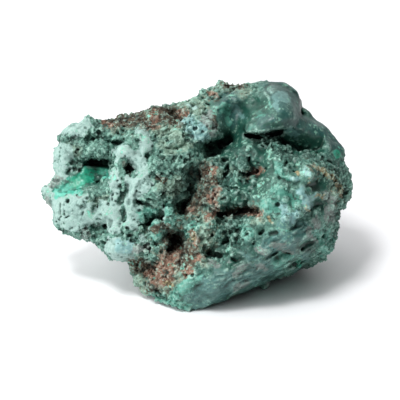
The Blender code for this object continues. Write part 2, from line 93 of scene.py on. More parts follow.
# ---- noise on rows of points
class Noise:
    def __init__(self, seed):
        rng = np.random.RandomState(seed)
        self.order = np.concatenate([rng.permutation(256)] * 2)
        steps = rng.normal(size=(256, 3))
        self.slopes = (steps / np.linalg.norm(steps, axis=1)[:, None]).astype(np.float32)

    def plain(self, points, size):
        spots = (points / size).astype(np.float32)
        cell = np.floor(spots).astype(np.int64)
        part = spots - cell
        fade = part * part * part * (part * (part * 6 - 15) + 10)
        cell &= 255
        total = np.zeros(len(points), dtype=np.float32)
        for corner in range(8):
            step = np.array([corner & 1, corner >> 1 & 1, corner >> 2 & 1])
            at = (cell + step) & 255
            mixed = self.order[self.order[self.order[at[:, 0]] + at[:, 1]] + at[:, 2]]
            share = np.prod(np.where(step, fade, 1 - fade), axis=1)
            total += share * np.einsum("ij,ij->i", self.slopes[mixed], part - step)
        return total * 1.6

    def rough(self, points, size, octaves):
        # each octave is about half the size and half the strength of the one before
        total, strength = 0, 1.0
        for octave in range(octaves):
            total = total + strength * self.plain(points + 0.37 * octave * size, size / 2.03**octave)
            strength *= 0.5
        return total


def smoothStep(values, low, high):
    part = np.clip((values - low) / (high - low), 0, 1)
    return part * part * (3 - 2 * part)


noiseA, noiseB, noiseC = Noise(11), Noise(23), Noise(37)

# ---- the plain stone, as a field of distances to its surface
stoneShape = {
    "voxel": 0.31 * mm,
    "band": 4.4 * mm,  # how deep the field is known on both sides of the surface
    "margin": 2.5 * mm,
    "roundOver": 0.75 * mm,  # softens the solid's facets
    "coarseStep": 3,  # voxels to a step of the coarse grid
    "broadBlur": 2.4 * mm,  # forms below this size don't show on the coarse grid
    "crustBand": 3.4 * mm,  # how far from the surface the coarse grid knows the crusts
    "lowGap": 0.02 * mm,  # how far inside the box the surface ends, on its low and its high sides
    "highGap": 0.05 * mm,
    "pointGap": 0.01 * mm,  # how far inside it every point is brought at the end
    "triangles": 192000,
    "shownThinning": 0.5,  # below 1, the show face keeps more of its triangles
}
voxel = stoneShape["voxel"]
coarse = voxel * stoneShape["coarseStep"]


def mergedCopy(node):
    # the node's triangles as one closed mesh
    mesh = bmesh.new()
    mesh.from_mesh(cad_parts[node].data)
    bmesh.ops.remove_doubles(mesh, verts=mesh.verts, dist=1e-6)
    bmesh.ops.triangulate(mesh, faces=mesh.faces)
    return mesh


solid = mergedCopy("malachite_stone")
solidPoints = np.array([v.co[:] for v in solid.verts], dtype=np.float32)
solidFaces = np.array([[v.index for v in f.verts] for f in solid.faces], dtype=np.uint32)
gridLow = solidPoints.min(axis=0) - stoneShape["margin"]
gridSize = np.ceil((solidPoints.max(axis=0) + stoneShape["margin"] - gridLow) / voxel).astype(int)
levels = openvdb.FloatGrid.createLevelSetFromPolygons(
    (solidPoints - gridLow) / voxel, triangles=solidFaces, halfWidth=stoneShape["band"] / voxel
)
field = np.full(gridSize, stoneShape["band"] / voxel, dtype=np.float32)
levels.copyToArray(field)
field *= voxel
report(f"distance field {field.shape}")


def blurred(array, radius, step):
    # repeated small blurs, about a Gaussian of that radius
    for _ in range(max(1, round(2 * (radius / step) ** 2))):
        for axis in range(3):
            side = np.roll(array, 1, axis) + np.roll(array, -1, axis)
            array = array * 0.5 + side * 0.25
    return array


def sampled(array, points, step):
    # the values at rows of points, of an array that fills the grid with that step
    spot = (points - gridLow) / step
    cell = np.clip(np.floor(spot).astype(int), 0, np.array(array.shape) - 2)
    part = (spot - cell).astype(np.float32)
    total = np.zeros(len(points), dtype=np.float32)
    for corner in range(8):
        dx, dy, dz = corner & 1, corner >> 1 & 1, corner >> 2 & 1
        share = (
            (part[:, 0] if dx else 1 - part[:, 0])
            * (part[:, 1] if dy else 1 - part[:, 1])
            * (part[:, 2] if dz else 1 - part[:, 2])
        )
        total += share * array[cell[:, 0] + dx, cell[:, 1] + dy, cell[:, 2] + dz]
    return total


field = blurred(field, stoneShape["roundOver"], voxel)
report("facets rounded over")

# ---- where each kind of crust lies on the show face, in squares
crustEdges = {
    "wander": 0.32,  # how far a trail strays from its places, in squares
    "wanderSize": 2.4 * mm,
    "ragged": 0.36,  # how much of an edge is eaten away
    "raggedSize": 2.2 * mm,
    "driftSizes": (16 * mm, 12 * mm, 9 * mm),  # of the crusts on the hidden sides
}
# each row is one trail: u, v of its places, one place after another, and then its half width
crusts = {
    "pale": [
        (-13.6, 7.2, -12.6, 7.4, -11.6, 7.6, 0.55), (-12.6, 6.7, -11.8, 6.6, 0.4),
        (-13.8, 4.8, -14.1, 3.8, -14, 2.8, 0.75), (-15.3, 0.9, -14.6, 0.4, 0.45), (-15, -0.2, 0.3),
        (-12.8, 0.3, -11.4, 0.2, 0.45), (-13.2, 5.2, -13, 4.2, 0.35), (-6.3, -0.8, -6.3, -2, 0.4),
        (-5.8, -3.9, 0.3), (-13.4, -2.5, -12.4, -2.8, 0.35), (-8.4, -1, -8.4, -2.6, 0.4),
        (-14.3, -0.6, -13.2, -0.8, -12, -1, -10.8, -1.3, 0.85),
        (-14, -1.8, -12.6, -2.1, -11.2, -1.9, -10.2, -2, 0.7), (-10, -0.9, -9, -1.2, -8.6, -2.2, 0.7),
        (-9.9, -2.2, -9, -2.8, 0.35), (-8.8, 2.6, -8.7, 1.4, -8.5, 0.3, 0.5),
        (-8.5, -0.2, -8.6, -1.6, -8.5, -2.8, 0.5), (-8.8, 4.5, -7.8, 5, -6.8, 4.6, 0.65),
        (-7.6, 4.2, -6.6, 3.8, 0.5), (-5.9, 6.8, -5.5, 6, -5.3, 5, 0.48),
        (-5.6, 4.6, -5.9, 3.6, -5.9, 2.4, -5.9, 1.2, 0.65),
        (-6.6, 2.9, -6.8, 1.6, -6.8, 0.2, -6.8, -1.4, -6.8, -2.4, 0.55), (-5.6, 1, -5.3, 1.8, 0.4),
        (-8.6, -4.6, -8.2, -5.4, -7.4, -5.2, 0.8), (-4.7, -3, 0.4), (-3.5, -0.9, -3.6, -1.9, 0.3),
        (-1.2, 9.5, -0.4, 9.3, 0.15),
    ],
    "bare": [
        (-6.9, 5.3, -6.5, 5.1, 0.2), (-7.7, 3.8, -7.2, 3.2, -6.7, 2.6, 0.32),
        (-7.5, 1.5, -7.7, 0.6, -8, -0.2, 0.22), (-7.5, -1, -7.7, -1.8, 0.16),
        (-10.4, 0.3, -10.5, -0.4, -10.7, -1, 0.16), (-9.4, 5, -8.9, 4.2, -9, 3.2, 0.3),
        (-5.3, 4.4, -5, 3.6, 0.25), (-9.6, 1.6, -9.4, 0.6, 0.28), (-10.8, -2.7, -9.6, -2.8, 0.16),
    ],
    "sage": [
        (-4.6, 7, -3.4, 6.9, 0.5), (-4, 5.7, -3, 5, -1, 5.6, 0.45), (-3.8, 1.4, -2.6, 0.9, -2.2, 1.8, 0.5),
        (12.9, 1.4, 13.4, 0.6, 0.35), (-2.6, 6.6, -1.9, 6.2, 0.5), (-1.6, 9.4, -0.4, 9.3, 0.8),
        (-13.2, 5.2, -12.4, 5, 0.5), (-4.6, -9.4, -3.4, -9, -2, -7.6, -1, -6.2, 0.8),
        (-0.6, -5.6, 0.6, -6, 0.4, -3.6, 0.7), (0.2, -1.8, 1, -1.6, 0.5), (-6.4, -8.4, -5.6, -9.2, 0.7),
        (1.6, -5.8, 1.2, -6.6, 0.6), (4.8, -2.1, 6.4, -2, 0.3), (2, 2.8, 2.4, 2.6, 0.5),
        (-10.6, -0.4, -9.6, 0.2, 0.4), (2.6, 11.2, 4.6, 10.6, 0.6),
    ],
    "bright": [
        (-0.6, 7.4, -1.4, 7.6, 0.3), (-3.1, -0.8, -3, -2.2, 0.4), (-4.5, -2.6, -4.4, -3.6, 0.45),
        (-6, -1.4, -4.8, -1.2, 0.45), (12.9, -3.4, 13.2, -4.6, 0.35), (-0.6, -2.5, -1.2, -3.4, 0.4),
        (-2.8, -10, -1.9, -8.8, -1, -8.2, -0.2, -7.4, 0.45), (-4.4, -9.8, -3, -10.2, -1.6, -11, 0.5),
        # the rows at u 2.5 to 2.9 lighten the glassy hollow's shaded left side: painted light
        (5.4, 8.4, 6.4, 9, 6.8, 9.4, 0.35), (4.8, 7.8, 5, 7.2, 0.35), (2.5, 9.4, 2.6, 8.8, 0.38),
        (2.7, 8, 2.9, 7.6, 0.24), (7.6, 4, 7.9, 3, 8.8, 2.2, 0.35), (6.7, -0.4, 7.4, -0.9, 0.65),
        (7.8, 1, 8.6, 0.2, 0.5), (9.4, -0.2, 10.2, 0.4, 0.45), (4.6, -3, 5.2, -3.8, 0.55),
        (7.9, -6.2, 8.8, -5.8, 0.6), (11.8, -3.6, 12.6, -4.8, 0.8), (5, 2.2, 5.8, 1.8, 0.4),
    ],
    "glass": [
        (8, 11.4, 9, 10.4, 9.4, 9, 9.2, 7.6, 1.5), (6.6, 8.2, 7.6, 7.6, 1),
        (11, 7.6, 12.6, 6.6, 13.6, 5.6, 0.9), (2.8, 9.6, 3.4, 8.4, 4.2, 8.6, 4, 7.2, 1.1),
    ],
    "flow": [
        (0, -9.6, 2, -9.2, 4, -8.4, 1.2), (1, -8, 2.6, -7.4, 0.9), (5.6, -7.4, 7.4, -6.6, 0.9),
        (5, -5.2, 7.2, -4.6, 9.4, -3.8, 1), (8.6, -3, 10, -3, 0.8), (9, -5, 10.6, -4.8, 0.6),
        (9.8, -7, 10.4, -5.8, 0.5),
    ],
    # deep green crust; many of these trails also paint shade, on overhanging faces, on lumps turned from
    # the lamps, in the crevice and in hollows
    "deepGreenAndShade": [
        (8.6, 6.2, 10.4, 5.8, 12, 5.6, 0.6), (4.6, 9.3, 4.8, 8.4, 4.3, 7.2, 0.6),
        (5, 9.9, 5.6, 9.5, 6, 9.4, 0.6), (4.2, 6.6, 3, 6.2, 0.8), (2.2, 5.6, 0.8),
        (11.4, 1.4, 12.4, 1.6, 0.45), (11.8, -0.4, 12.4, -0.8, 0.4), (9.6, -6.4, 10.4, -6.6, 0.45),
        (3.2, -6.4, 4, -6, 0.5), (2.6, -1, 4.4, -0.2, 0.7), (10.5, 9, 11, 8.6, 0.4),
        (10, -4.8, 11.2, -4.6, 0.5), (-11.2, 3.7, -9, 3.5, 0.35), (-11.2, 1.9, -10.2, 2.1, -9.5, 2.2, 0.45),
        (1, 7.5, 1.2, 6.9, 0.4), (6.6, 7.5, 8.2, 7.6, 0.22), (3, -9.9, 5, -9.1, 0.3),
        (6.4, 4.7, 7, 3.6, 6.8, 2.8, 0.55), (9.4, 5, 10.6, 4.6, 11.6, 4.6, 0.35),
        (2.2, 4.4, 3.4, 4.4, 0.35), (5.8, 3.6, 6.3, 2.6, 6, 1.2, 0.6), (3.6, 5.6, 5, 5.4, 0.35),
        (4, 1.2, 5.4, 1.1, 0.5), (9.2, 4, 9.4, 3.4, 0.35), (2.4, -5, 3.6, -5.6, 0.3),
        (-1.4, -1.2, -1.2, -2, 0.3),
    ],
    "moss": [
        (3.4, 6.2, 4.6, 5.4, 0.5), (2.6, 4.8, 4.2, 4.4, 5.8, 4.2, 0.8), (6, 5.2, 7.6, 4.7, 8.2, 4.9, 0.6),
        (5.8, 3.8, 6.4, 2.8, 6, 1.4, 0.65), (9.2, 4.8, 9.7, 4, 9.4, 3.2, 0.5),
        (10.6, 4.9, 12, 4.5, 13.4, 4, 0.7), (1.4, 3.6, 2.4, 3.4, 0.35), (2.8, 1.5, 4.4, 1.3, 5.2, 0.6, 0.8),
        (5.7, 1.2, 6.2, 0.6, 0.5), (2.2, -4.8, 3.6, -5.4, 0.5), (4.8, -4.8, 5.8, -5.2, 0.5),
        (3.4, -4, 4.6, -4.8, 5.8, -4, 0.5), (1, -5.9, 2.4, -6.4, 3.8, -6, 0.5),
        (4.6, -1.8, 5.2, -1.6, 0.35), (-0.2, -7.2, 1, -7.4, 0.3), (-7.4, -3.8, -6.6, -4.1, 0.4),
        (-9.9, 6, -8, 5.9, 0.3), (5.2, 10.2, 6, 9.6, 6.5, 10.2, 0.45), (6.4, 9, 7.2, 8.8, 0.3),
        (-11.4, -3.3, -10.8, -3.1, 0.35),
    ],
    "emerald": [
        (-13.9, 0.9, -13, 1.5, 0.5), (-13, 1.4, -12, 2, -11.2, 2.4, 0.6),
        (-11.4, 2.8, -10.4, 2.9, -9.6, 2.8, 0.42), (14, 4.4, 13.7, 4.8, 0.25), (9.9, -6.5, 0.25),
    ],
    "rust": [
        (1.5, 1, 1.3, 0.2, 1.5, -0.6, 1, -1.6, 0.4), (1.4, 3.2, 1, 2.8, 0.35), (-1.1, -0.9, 0.3),
        (-0.7, -3.4, -0.4, -4, 0.35), (-3, -5.6, -3.4, -6.6, -4, -7.2, -3.4, -7.8, 0.75),
        (-2.4, -5, -2.6, -5.6, 0.4), (-5, -7.4, -4.4, -8, 0.35), (-1.6, -7.4, -1, -7, 0.3),
        (-0.2, -6, 0, -5.6, 0.3), (-4.6, 8.4, -4.4, 7.8, 0.35), (-5.2, 7.2, -4.6, 7.4, 0.3),
        (-2, 8.8, -1.4, 8.7, 0.35), (0.8, 10.8, 1.4, 10.6, 0.25), (-9.4, 7.8, -9, 7.6, 0.35),
        (4.8, -1.3, 6, -1.4, 0.3), (5.4, 2.7, 6.2, 3, 0.25),
    ],
    "brown": [
        (-8.4, 8, -6.6, 8.2, -5.4, 8.4, -4, 8.6, -2.6, 8.4, 0.8), (-1.8, 8.2, -1.7, 7.8, 0.5),
        (0.9, 1.9, 0.6, 2.8, 0.75), (-7.6, 3.6, -7, 2.8, 0.22), (0.4, 0.6, -0.2, 0, -1.2, -1, 0.6),
        (-4.6, -3, -3.4, -2.6, 0.3), (-2.8, -4, -2, -4.4, -1.4, -4.8, 0.7),
        (-6.4, -6.4, -5.4, -6.8, -5, -7.2, 0.7), (-5, -8.6, -4.4, -9, 0.45),
        (-2.2, -6.2, -1.4, -6.4, -0.6, -5.2, 0.6), (-4.2, 2.2, -3.4, 2, 0.18), (5, 2.6, 5.6, 2.8, 0.4),
        (2.6, -1.4, 5.2, -1, 0.4), (1.2, 8, 1.2, 7.2, 0.4), (2.6, 11.6, 4, 11.5, 0.4),
    ],
    "waxy": [
        (6.4, -0.2, 8, 0.4, 10.4, 1.2, 12, -0.4, 1.1), (6.4, -2.8, 9.4, -3.4, 11.6, -2.6, 1.1),
        (7.4, 3.6, 8.6, 2.4, 0.7), (9.8, 2.6, 11, 2.4, 0.6), (6.6, 10.6, 7.2, 9.2, 0.6),
        (-4.4, 5, -2, 4.8, 0, 5.2, 0.5), (11, 1, 12.4, 0.4, 0.7), (12.8, -0.6, 12.8, -2, 0.6),
        (-0.6, -9, 3, -8, 6.4, -6.6, 9.6, -5.2, 1.6), (4.6, 5.4, 5.8, 4.8, 0.7), (12.6, 7, 13.8, 5, 1),
        (1.2, 9.2, 2.6, 8.8, 5, 9.8, 0.9),
    ],
    # the lit left end of the vug's leaf: turquoise crust with a painted highlight
    "turquoiseHighlight": [
        (-14.1, 0.8, -13.3, 1.3, 0.42), (-13.2, 0.8, -12, 1.1, 0.22), (-9.3, 2.4, -9.15, 2.8, 0.15),
    ],
    "warm": [
        (-3, -3, -2, -5, -3, -7.4, -4.4, -8.8, 2), (0.8, 2.6, 1.2, 0.4, 0.6, -2.4, -0.6, -5, 1.5),
        (-8, 7.8, -5, 8.2, -2, 8.4, 1), (0.8, 9.8, 2.4, 10.8, 4.4, 11, 0.8),
        (11, 3.2, 13, 2, 13.8, 0.2, 0.8), (4.6, 2.6, 5.6, -1.6, 0.6), (4, -8, 8, -4.8, 0.5),
    ],
    "ochre": [
        (11.4, 3.2, 12.4, 3, 13.2, 2.2, 13.9, 1.2, 14.2, 0.2, 0.16), (13, 2.6, 13.8, 1.8, 14.2, 1, 0.15),
        (12, 0.4, 12.3, 0.2, 0.14), (10.9, 1.9, 10.8, 1.6, 0.13), (10.7, -0.8, 10.8, -1.1, 0.14),
        (-0.6, -3.5, -0.8, -3.9, 0.25), (-3.3, -8.2, -2.7, -8.5, 0.2), (11.6, 0.6, 11.9, 0.3, 0.14),
        (7, -1.8, 7.1, -2.2, 0.15), (9.7, 2.9, 9.9, 2.6, 0.14),
    ],
    "blueWhite": [
        (-1.2, 8, -1, 7.2, -0.4, 6.8, 0.5), (0, 7.2, 0.2, 6.4, 0.5), (10.4, 3, 10.9, 2.4, 0.2),
        (9.3, 2.2, 9.6, 2.1, 0.25), (10.1, 1, 10.4, 0.2, 10.8, -0.6, 0.4), (8.2, -0.6, 8.6, -1.6, 0.32),
        (9.6, -1.2, 9.2, -2, 0.28), (11.6, 0.5, 11.2, 0.2, 0.25), (-8, -4.6, -7.2, -4.9, 0.5),
    ],
    # mostly painted highlights, on the horn's crest and in the glassy hollow, in a pale blue-grey
    "highlightVeil": [
        (7.4, 10.4, 8, 10.5, 8.6, 10.2, 0.35), (7.7, 9.8, 7.6, 9.2, 0.3), (9, 6.9, 9.6, 6.6, 0.3),
        (3.4, 9.2, 4.2, 8.4, 0.25),
    ],
    "pinkGrey": [
        (-14.9, 1.6, -14.2, 2.1, 0.26), (-12.6, 0.8, -12.2, 0.6, 0.2), (-15.2, 0, -14.9, -0.6, 0.22),
        (-12.4, 2.9, -11.9, 3.2, 0.16), (3.6, -7.4, 4.2, -6.8, 4.6, -6.4, 0.26),
        (5.8, -6.5, 6.4, -6.9, 0.24), (10.8, -3, 11, -3.6, 11.4, -4, 0.25), (11.6, -2, 11.6, -2.8, 0.25),
        (7, -4.6, 8.4, -4.4, 0.2), (8, -4.9, 9.2, -5.2, 0.16), (3.6, -8.8, 4.6, -8.4, 0.22),
        (13, -1, 12.9, -1.8, 0.4), (13.2, 0, 12.6, 0.6, 0.35), (1, 7.6, 1.3, 6.8, 0.34),
        (0.9, 8.6, 0.4, 8.2, 0.8, 7.6, 0.32), (-6.4, -5, -5.4, -4.8, 0.4), (-11.4, -3.6, -11.5, -3.2, 0.3),
        (6, -5, 6.3, -5.3, 0.3), (0.9, -6.2, 1.6, -6.6, 0.3), (8.6, -8.2, 6.9, -8.6, 0.3),
    ],
}


def trailRow(row, extras):
    # a row's u, v places, and the values that end it
    return (list(zip(row[:-extras:2], row[1:-extras:2])), *row[-extras:])


def trailDistance(places, trail):
    # from each u, v row to a trail of u, v places
    nearest = np.full(len(places), 99.0, dtype=np.float32)
    for start, end in zip(trail, trail[1:] or trail):
        run = np.array(end, dtype=np.float32) - np.array(start, dtype=np.float32)
        offset = places - np.array(start, dtype=np.float32)
        along = np.clip(offset @ run / max(run @ run, 1e-9), 0, 1)
        gap = offset - along[:, None] * run
        nearest = np.minimum(nearest, np.sqrt(gap[:, 0] ** 2 + gap[:, 1] ** 2))
    return nearest


def nearTrail(places, trail, inner, outer):
    # 1 within the inner distance of a trail, 0 past the outer one
    return smoothStep(-trailDistance(places, trail), -outer, -inner)


def crustShares(points):
    # how much of each kind of crust lies at each point: trails on the show face, drifts behind
    seen = sampled(seenGrid, points, coarse)
    wander = [noise.rough(points, crustEdges["wanderSize"], 2) for noise in (noiseA, noiseB)]
    places = sheetPlace(points) + crustEdges["wander"] * np.stack(wander, axis=1)
    shares = {}
    for kind, rows in crusts.items():
        share = np.zeros(len(points), dtype=np.float32)
        for row in rows:
            trail, width = trailRow(row, 1)
            # full within 5/8 of the half width, none past 15/8 of it
            share = np.maximum(share, 1.5 - trailDistance(places, trail) / (1.25 * width))
        shares[kind] = np.clip(share, 0, 1) * seen
    ragged = crustEdges["ragged"] * noiseC.rough(points, crustEdges["raggedSize"], 3)
    skin = shares["pale"] * (1 - shares["bare"])
    shares["pale"] = smoothStep(skin + ragged, 0.40, 0.62) * (shares["pale"] > 0)
    # the hidden sides carry the same crusts in broad drifts
    firstSize, secondSize, thirdSize = crustEdges["driftSizes"]
    first = noiseA.rough(points + 0.5, firstSize, 3)
    second = noiseB.rough(points + 0.5, secondSize, 3)
    third = noiseC.rough(points + 0.5, thirdSize, 2)
    drifts = {
        "pale": smoothStep(first, 0.12, 0.34),
        "sage": smoothStep(third, 0.15, 0.35),
        "brown": smoothStep(-first, 0.22, 0.42),
        "rust": smoothStep(-first, 0.34, 0.5) * smoothStep(third, 0.0, 0.3),
        "warm": smoothStep(-first, -0.05, 0.3),
        "waxy": smoothStep(second, 0.05, 0.3),
        "glass": smoothStep(second, 0.3, 0.5),
        "flow": smoothStep(second, 0.1, 0.25) * smoothStep(first, -0.2, 0.1),
        "bright": smoothStep(second, 0.3, 0.5) * smoothStep(third, -0.1, 0.3),
        "deepGreenAndShade": smoothStep(-second, 0.34, 0.55),
        "blueWhite": smoothStep(third, 0.42, 0.6),
        "pinkGrey": smoothStep(-third, 0.4, 0.55),
    }
    for kind, share in drifts.items():
        share = smoothStep(share + ragged, 0.32, 0.68) * (share > 0)
        shares[kind] = np.maximum(shares[kind], share * (1 - seen))
    return shares


# ---- lumps and holes, cut into the field block by block
gridHigh = gridLow + voxel * (gridSize - 1)
gridAxes = [gridLow[axis] + voxel * np.arange(gridSize[axis], dtype=np.float32) for axis in range(3)]


def block(low, high):
    # the part of the grid between two corners, and its coordinates
    start = np.clip(((low - gridLow) / voxel).astype(int), 0, gridSize - 1)
    stop = np.clip(((high - gridLow) / voxel).astype(int) + 2, 1, gridSize)
    cut = tuple(slice(a, b) for a, b in zip(start, stop))
    x = gridAxes[0][cut[0]][:, None, None]
    y = gridAxes[1][cut[1]][None, :, None]
    z = gridAxes[2][cut[2]][None, None, :]
    return cut, x, y, z


def capsuleDistance(start, end, x, y, z):
    run = end - start
    length = max(float(run @ run), 1e-12)
    along = ((x - start[0]) * run[0] + (y - start[1]) * run[1] + (z - start[2]) * run[2]) / length
    along = np.clip(along, 0, 1)
    return np.sqrt(
        (x - start[0] - along * run[0]) ** 2
        + (y - start[1] - along * run[1]) ** 2
        + (z - start[2] - along * run[2]) ** 2
    )


def smoothLower(a, b, width):
    part = np.clip(0.5 + 0.5 * (b - a) / width, 0, 1)
    return b * (1 - part) + a * part - width * part * (1 - part)


def placeCapsule(start, end, radius, blend, sign):
    # sign 1 adds the capsule to the stone, -1 cuts it out
    reach = radius + blend
    cut, x, y, z = block(np.minimum(start, end) - reach, np.maximum(start, end) + reach)
    gap = capsuleDistance(start, end, x, y, z) - radius
    field[cut] = sign * smoothLower(sign * field[cut], gap, blend)


def surfaceAt(u, v):
    # where the eye meets the stone through a place of the sheet, and which way the stone faces there
    ray = np.array((sheetPoint(u, v) - eye).normalized(), dtype=np.float32)
    start = sheet["eyeDistance"] - sheet["sightReach"]
    along = np.arange(start, start + 2 * sheet["sightReach"], sheet["sightStep"], dtype=np.float32)
    rows = np.array(eye, dtype=np.float32) + ray * along[:, None]
    rows = rows[((rows > gridLow + voxel) & (rows < gridHigh - voxel)).all(axis=1)]
    met = np.flatnonzero(sampled(field, rows, voxel) < 0)
    if len(met) == 0:
        return None, None
    spot = rows[met[0]]
    return spot, outward(spot[None, :])[0]


def trailOnStone(trail):
    # where the places of a trail meet the stone, each with its outward direction
    met = [surfaceAt(*place) for place in trail]
    return [(spot, facing) for spot, facing in met if spot is not None]


# ---- places where the surface is set outright: an outline in u, v, and u, v, w places it passes
# through, with w in mm out of the sheet
surfaceSetting = {
    "reach": 9.0 * mm,  # how far behind the new surface the old one is filled
    "soft": 0.8 * mm,  # width of the step at the outline
    "slope": 0.85,  # share of a step out of the sheet that counts as distance from the surface
    "give": 0.02,  # lets the surface miss its places by a little
    "before": 14,  # how far before and behind its places the field is worked on, in mm
    "behind": 9,
}
surfaces = {
    "vugRoof": (
        [(-11.3, 4.1), (-10.2, 4.2), (-9.3, 4.2), (-8.8, 3.9), (-8.7, 3.2), (-9.3, 3.2), (-10.1, 3.4),
         (-11.2, 3.6)],
        [(-11.2, 4.2, -2), (-9, 4, -2), (-10, 3.4, -3.5), (-9.2, 3.3, -3)],
    ),
    "vugBrow": (
        [(-12, 5.6), (-10.8, 5.8), (-9.4, 5.6), (-8.8, 4.9), (-9.1, 4.2), (-10.2, 4.15), (-11.3, 4.1),
         (-11.9, 4.5)],
        [(-11.8, 5.4, 8.4), (-11.4, 4.4, 8.2), (-10.4, 5.4, 10.6), (-10.2, 4.3, 9.4), (-9.4, 5.2, 9),
         (-9.2, 4.4, 8)],
    ),
    "vugLeaf": (
        [(-14.6, 0.7), (-13.8, 1.5), (-13.2, 2), (-12.5, 2.5), (-11.9, 3.3), (-11.3, 3.6), (-10, 3.45),
         (-9.2, 3.2), (-8.8, 2.7), (-9.4, 2), (-10, 1.7), (-10.8, 1.3), (-11.6, 1), (-12.4, 0.8),
         (-13.2, 0.6), (-14, 0.5)],
        [(-14.3, 0.8, 4.5), (-13.6, 1.4, 5.2), (-13, 1.1, 6), (-13, 2, 5.2), (-12.2, 2.6, 5.2),
         (-12, 1.4, 6.4), (-11.2, 3.3, 4.2), (-11, 2.2, 4.8), (-10.8, 1.4, 7.2), (-10.2, 3.4, 2.6),
         (-10, 2.6, 3.2), (-10, 1.9, 4.6), (-9.3, 3.1, 3.4), (-9.3, 2.3, 4.8)],
    ),
    "flankHollow": (
        [(7.9, 8.2), (9.2, 8.3), (10.2, 8.2), (10.9, 7.9), (11.5, 7.5), (12, 7), (12.5, 6.4), (12.5, 5.7),
         (12.2, 5.1), (11.4, 4.8), (10.2, 4.8), (9.2, 5.2), (8.4, 5.8), (7.8, 6.6)],
        [(8.6, 7.8, 14.6), (9.4, 7.8, 12.3), (10.2, 7.8, 8.8), (11, 7.8, 5.4), (8.6, 7.2, 12.6),
         (9.4, 7.2, 11.2), (10.2, 7.2, 9.6), (11, 7.2, 7.6), (11.8, 7.2, 5), (8.6, 6.6, 9.6),
         (9.4, 6.6, 9.2), (10.2, 6.6, 8.6), (11, 6.6, 7.5), (11.8, 6.6, 6.2), (12.5, 6.6, 4.6), (8.3, 6, 6),
         (9, 6, 6.8), (10, 6, 6.9), (11, 6, 6.4), (12, 6, 5.4), (8.9, 5.5, 3.8), (9.8, 5.4, 4.2),
         (10.8, 5.4, 4.4), (11.8, 5.4, 4.6), (10.2, 4.9, 2.6), (11.4, 4.9, 3.2)],
    ),
    "hornUnderside": (
        [(4.4, 6.7), (5.6, 6.7), (6.4, 6.7), (7.2, 6.9), (8.4, 7.2), (8.4, 6.6), (8, 6.3), (7.2, 6.1),
         (6.4, 5.9), (5.6, 5.9), (4.9, 6.1), (4.4, 6.3)],
        [(4.6, 6.5, 1), (6, 6.3, -2), (7.4, 6.5, -2), (8.3, 6.9, 2)],
    ),
    "horn": (
        [(6.3, 11.4), (7.2, 11.9), (8, 11.7), (9, 11.3), (9.8, 10.8), (10.1, 10), (10.2, 9.2), (10.2, 8.4),
         (10.1, 7.6), (9.6, 7.1), (8.4, 7), (7.6, 6.9), (6.8, 6.7), (6, 6.6), (5.2, 6.65), (4.6, 6.7),
         (4.4, 7.1), (4.7, 7.9), (5, 8.5), (5.6, 8.9), (6.4, 9.3), (7, 9.7), (6.9, 10.3), (6.5, 10.8)],
        [(6.4, 11.2, 4), (7.2, 11.6, 3.4), (8.2, 11.5, 3.6), (9.2, 11, 3.2), (9.9, 10.4, 2), (7, 10.8, 9),
         (8, 10.6, 9.6), (9, 10.2, 8.6), (9.8, 9.6, 5.6), (7.1, 9.9, 11.4), (8.2, 9.6, 13.4),
         (9.3, 9.2, 11.2), (10, 8.6, 7.6), (6.4, 9, 12), (7.4, 8.8, 15.4), (8.4, 8.4, 15.4),
         (9.4, 8.2, 12.8), (5.6, 8.5, 11), (5, 7.9, 12), (4.7, 7.2, 13.2), (5.2, 6.9, 14.8),
         (6.2, 7.8, 15.4), (6.2, 6.9, 15.2), (7.2, 7.8, 16.4), (7.1, 7, 15), (8, 7.2, 14.4),
         (8.8, 7.4, 13.4), (9.6, 7.6, 11), (10.1, 7.9, 9)],
    ),
}


def outlineDepth(places, outline):
    # how far inside an outline each place lies; negative outside
    nearest = np.full(len(places), 99.0, dtype=np.float32)
    inside = np.zeros(len(places), dtype=bool)
    u, v = places[:, 0], places[:, 1]
    for (ua, va), (ub, vb) in zip(outline, outline[1:] + outline[:1]):
        nearest = np.minimum(nearest, trailDistance(places, [(ua, va), (ub, vb)]))
        if va != vb:
            inside ^= ((va > v) != (vb > v)) & (u < (ub - ua) * (v - va) / (vb - va) + ua)
    return np.where(inside, nearest, -nearest)


def thinPlate(spots, heights, places):
    # the smoothest height surface through the given places
    def bend(a, b):
        squares = ((a[:, None, :] - b[None, :, :]) ** 2).sum(axis=2)
        return 0.5 * squares * np.log(squares + 1e-9)

    count = len(spots)
    flat = np.column_stack((np.ones(count), spots))
    matrix = np.zeros((count + 3, count + 3))
    matrix[:count, :count] = bend(spots, spots) + surfaceSetting["give"] * np.eye(count)
    matrix[:count, count:] = flat
    matrix[count:, :count] = flat.T
    weights = np.linalg.solve(matrix, np.concatenate((heights, np.zeros(3))))
    result = weights[count] + weights[count + 1] * places[:, 0] + weights[count + 2] * places[:, 1]
    return result + bend(places, spots) @ weights[:count]


